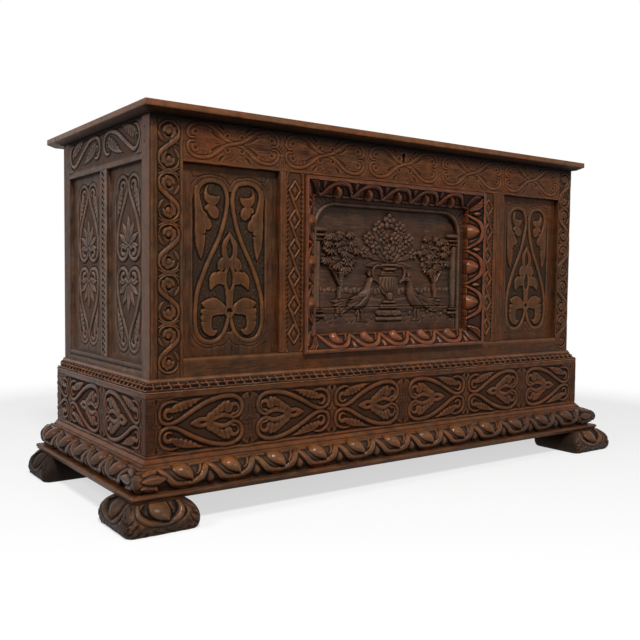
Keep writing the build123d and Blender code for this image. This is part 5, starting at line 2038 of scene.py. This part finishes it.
def lid_pieces():
    """The wooden lid pieces, with the lower half of their outer edges planed back."""
    shave = 13.0
    shave_top = 791.5
    front_cuts = (-238, -224)
    side_cuts = (638, 624)
    for node, axis in LID_WOOD.items():
        solid = cad_mesh(node)
        cut_flat(solid, (0, 0, shave_top), (0, 0, 1))
        for y in front_cuts:
            cut_flat(solid, (0, y, 0), (0, 1, 0))
        for x in side_cuts:
            cut_flat(solid, (x, 0, 0), (1, 0, 0))
            cut_flat(solid, (-x, 0, 0), (1, 0, 0))
        points, faces = taken_apart(solid)
        x, y, z = points.T
        under = z < 780.5
        y[under & (y < -262)] += shave
        wide = under & (np.abs(x) > 650.5)
        x[wide] -= np.copysign(shave, x[wide])
        # Painted shade darkens the underside, most where it overhangs; the upper half of the outer rim takes
        # the worn colour, as wear and painted highlight.
        outer_rim = (y < -245) | (np.abs(x) > 635)
        overhang = (y < -237) | (np.abs(x) > 637)
        tones = {
            "cavity": (0.3 + 0.7 * overhang) * (z < 785) * (node != "lid_back_strip"),
            "wear_and_highlight": 0.75 * (z > 790) * outer_rim,
        }
        body = "carcass" if node == "lid_back_strip" else "lid"
        material = oak("oak_lid", axis)
        name = node + "_shaved"
        piece = build_piece(name, points, faces, tones, material, body, "oak_lid", node)
        soften(piece, LID_EDGE)


# ---------------------------------------------------------------- stage
# The camera was fitted to the straight edges of the chest in the photograph.
CAMERA_PLACE = (-1.2572, -1.6526, 0.4707)
CAMERA_YAW = math.radians(35.873)
CAMERA_PITCH = math.radians(-2.967)
CAMERA_ROLL = math.radians(0.588)
CAMERA_LENS = 44.77
CAMERA_SENSOR = 36.0
WORLD_LEVEL = 0.17
FLOOR_HALF = 14.0
FLOOR_TONE = linear(74, 72, 70)
FLOOR_SEEN = linear(250, 250, 250)
WHITE = (1, 1, 1, 1)


def straight_rays(tree):
    """One for rays of the camera and those that a mirror or a glass sends on, else nought."""
    rays = tree.add("LightPath").outputs
    seen = tree.math("MAXIMUM", rays["Is Camera Ray"], rays["Is Glossy Ray"])
    return tree.math("MAXIMUM", seen, rays["Is Transmission Ray"])


def floor():
    """A plain pale floor that keeps the chest's shadow and runs out to white."""
    mesh = bpy.data.meshes.new("studio_floor")
    near, far = -FLOOR_HALF, FLOOR_HALF
    corners = [(near, near, 0), (far, near, 0), (far, far, 0), (near, far, 0)]
    mesh.from_pydata(corners, [], [(0, 1, 2, 3)])
    plane = bpy.data.objects.new("studio_floor", mesh)
    bpy.context.scene.collection.objects.link(plane)
    material, tree, shader = new_material("studio_floor")
    seen = straight_rays(tree)
    tree.feed(shader["Base Color"], tree.mix(seen, FLOOR_TONE, FLOOR_SEEN))
    tree.feed(shader["Roughness"], 0.9)
    tree.feed(shader["Specular IOR Level"], 0.05)
    place = tree.add("TexCoord").outputs["Object"]
    distance = tree.add("VectorMath", {0: place}, operation="LENGTH").outputs["Value"]
    away = tree.span(distance, 0.72, 2.0, 0, 1, interpolation_type="SMOOTHSTEP")
    share = tree.times(tree.math("MAXIMUM", away, 0.62), seen)
    glow = tree.add("Emission", {"Color": WHITE, "Strength": 1}).outputs["Emission"]
    surface = material.node_tree.nodes["Principled BSDF"].outputs["BSDF"]
    mixed = tree.add("MixShader", {"Fac": share, 1: surface, 2: glow}).outputs["Shader"]
    tree.feed(material.node_tree.nodes["Material Output"].inputs["Surface"], mixed)
    mesh.materials.append(material)


def world():
    """White for the camera and for mirrors, and a low even light for the rest."""
    sky = bpy.data.worlds.new("studio")
    bpy.context.scene.world = sky
    sky.use_nodes = True
    tree = Nodes(sky.node_tree)
    background = sky.node_tree.nodes["Background"].inputs
    tree.feed(background["Color"], WHITE)
    tree.feed(background["Strength"], tree.span(straight_rays(tree), 0, 1, WORLD_LEVEL, 1))


def lamp(name, place, target, size, power):
    """A soft square lamp that looks at a point."""
    data = bpy.data.lights.new(name, "AREA")
    data.shape = "RECTANGLE"
    data.size, data.size_y = size
    data.energy = power
    light = bpy.data.objects.new(name, data)
    bpy.context.scene.collection.objects.link(light)
    light.location = place
    light.rotation_euler = (Vector(target) - Vector(place)).to_track_quat("-Z", "Y").to_euler()


def camera():
    """The photograph's view."""
    level_part = math.cos(CAMERA_PITCH)
    forward = Vector(
        (math.sin(CAMERA_YAW) * level_part, math.cos(CAMERA_YAW) * level_part, math.sin(CAMERA_PITCH))
    )
    right = forward.cross(Vector((0, 0, 1))).normalized()
    up = right.cross(forward)
    rolled_right = right * math.cos(CAMERA_ROLL) + up * math.sin(CAMERA_ROLL)
    rolled_up = up * math.cos(CAMERA_ROLL) - right * math.sin(CAMERA_ROLL)
    data = bpy.data.cameras.new("camera")
    data.lens = CAMERA_LENS
    data.sensor_width = CAMERA_SENSOR
    eye = bpy.data.objects.new("camera", data)
    bpy.context.scene.collection.objects.link(eye)
    turn = Matrix((rolled_right, rolled_up, -forward)).transposed().to_4x4()
    eye.matrix_world = Matrix.Translation(CAMERA_PLACE) @ turn
    bpy.context.scene.camera = eye


def studio():
    """Soft light from high at the front left, a fill in front, and one for the left side.

    Each lamp has its place, its target and its size in metres, and its power in watts.
    """
    floor()
    world()
    lamp("key", (-1.4, -2.5, 3.4), (0, -0.1, 0.4), (0.75, 0.6), 128)
    lamp("fill", (0.2, -3.8, 1.6), (0.1, 0, 0.4), (1.2, 1.0), 21)
    lamp("side", (-3.2, -0.2, 2.4), (-0.6, 0, 0.45), (1.2, 1.0), 36)
    camera()
    bpy.context.scene.view_settings.view_transform = "Standard"


front_posts()
front_rails()
front_muntins()
front_panels()
centre_frame()
waist()
frieze()
torus()
sides()
feet()
relief()
arch_face()
plain_nodes()
lid_pieces()
studio()
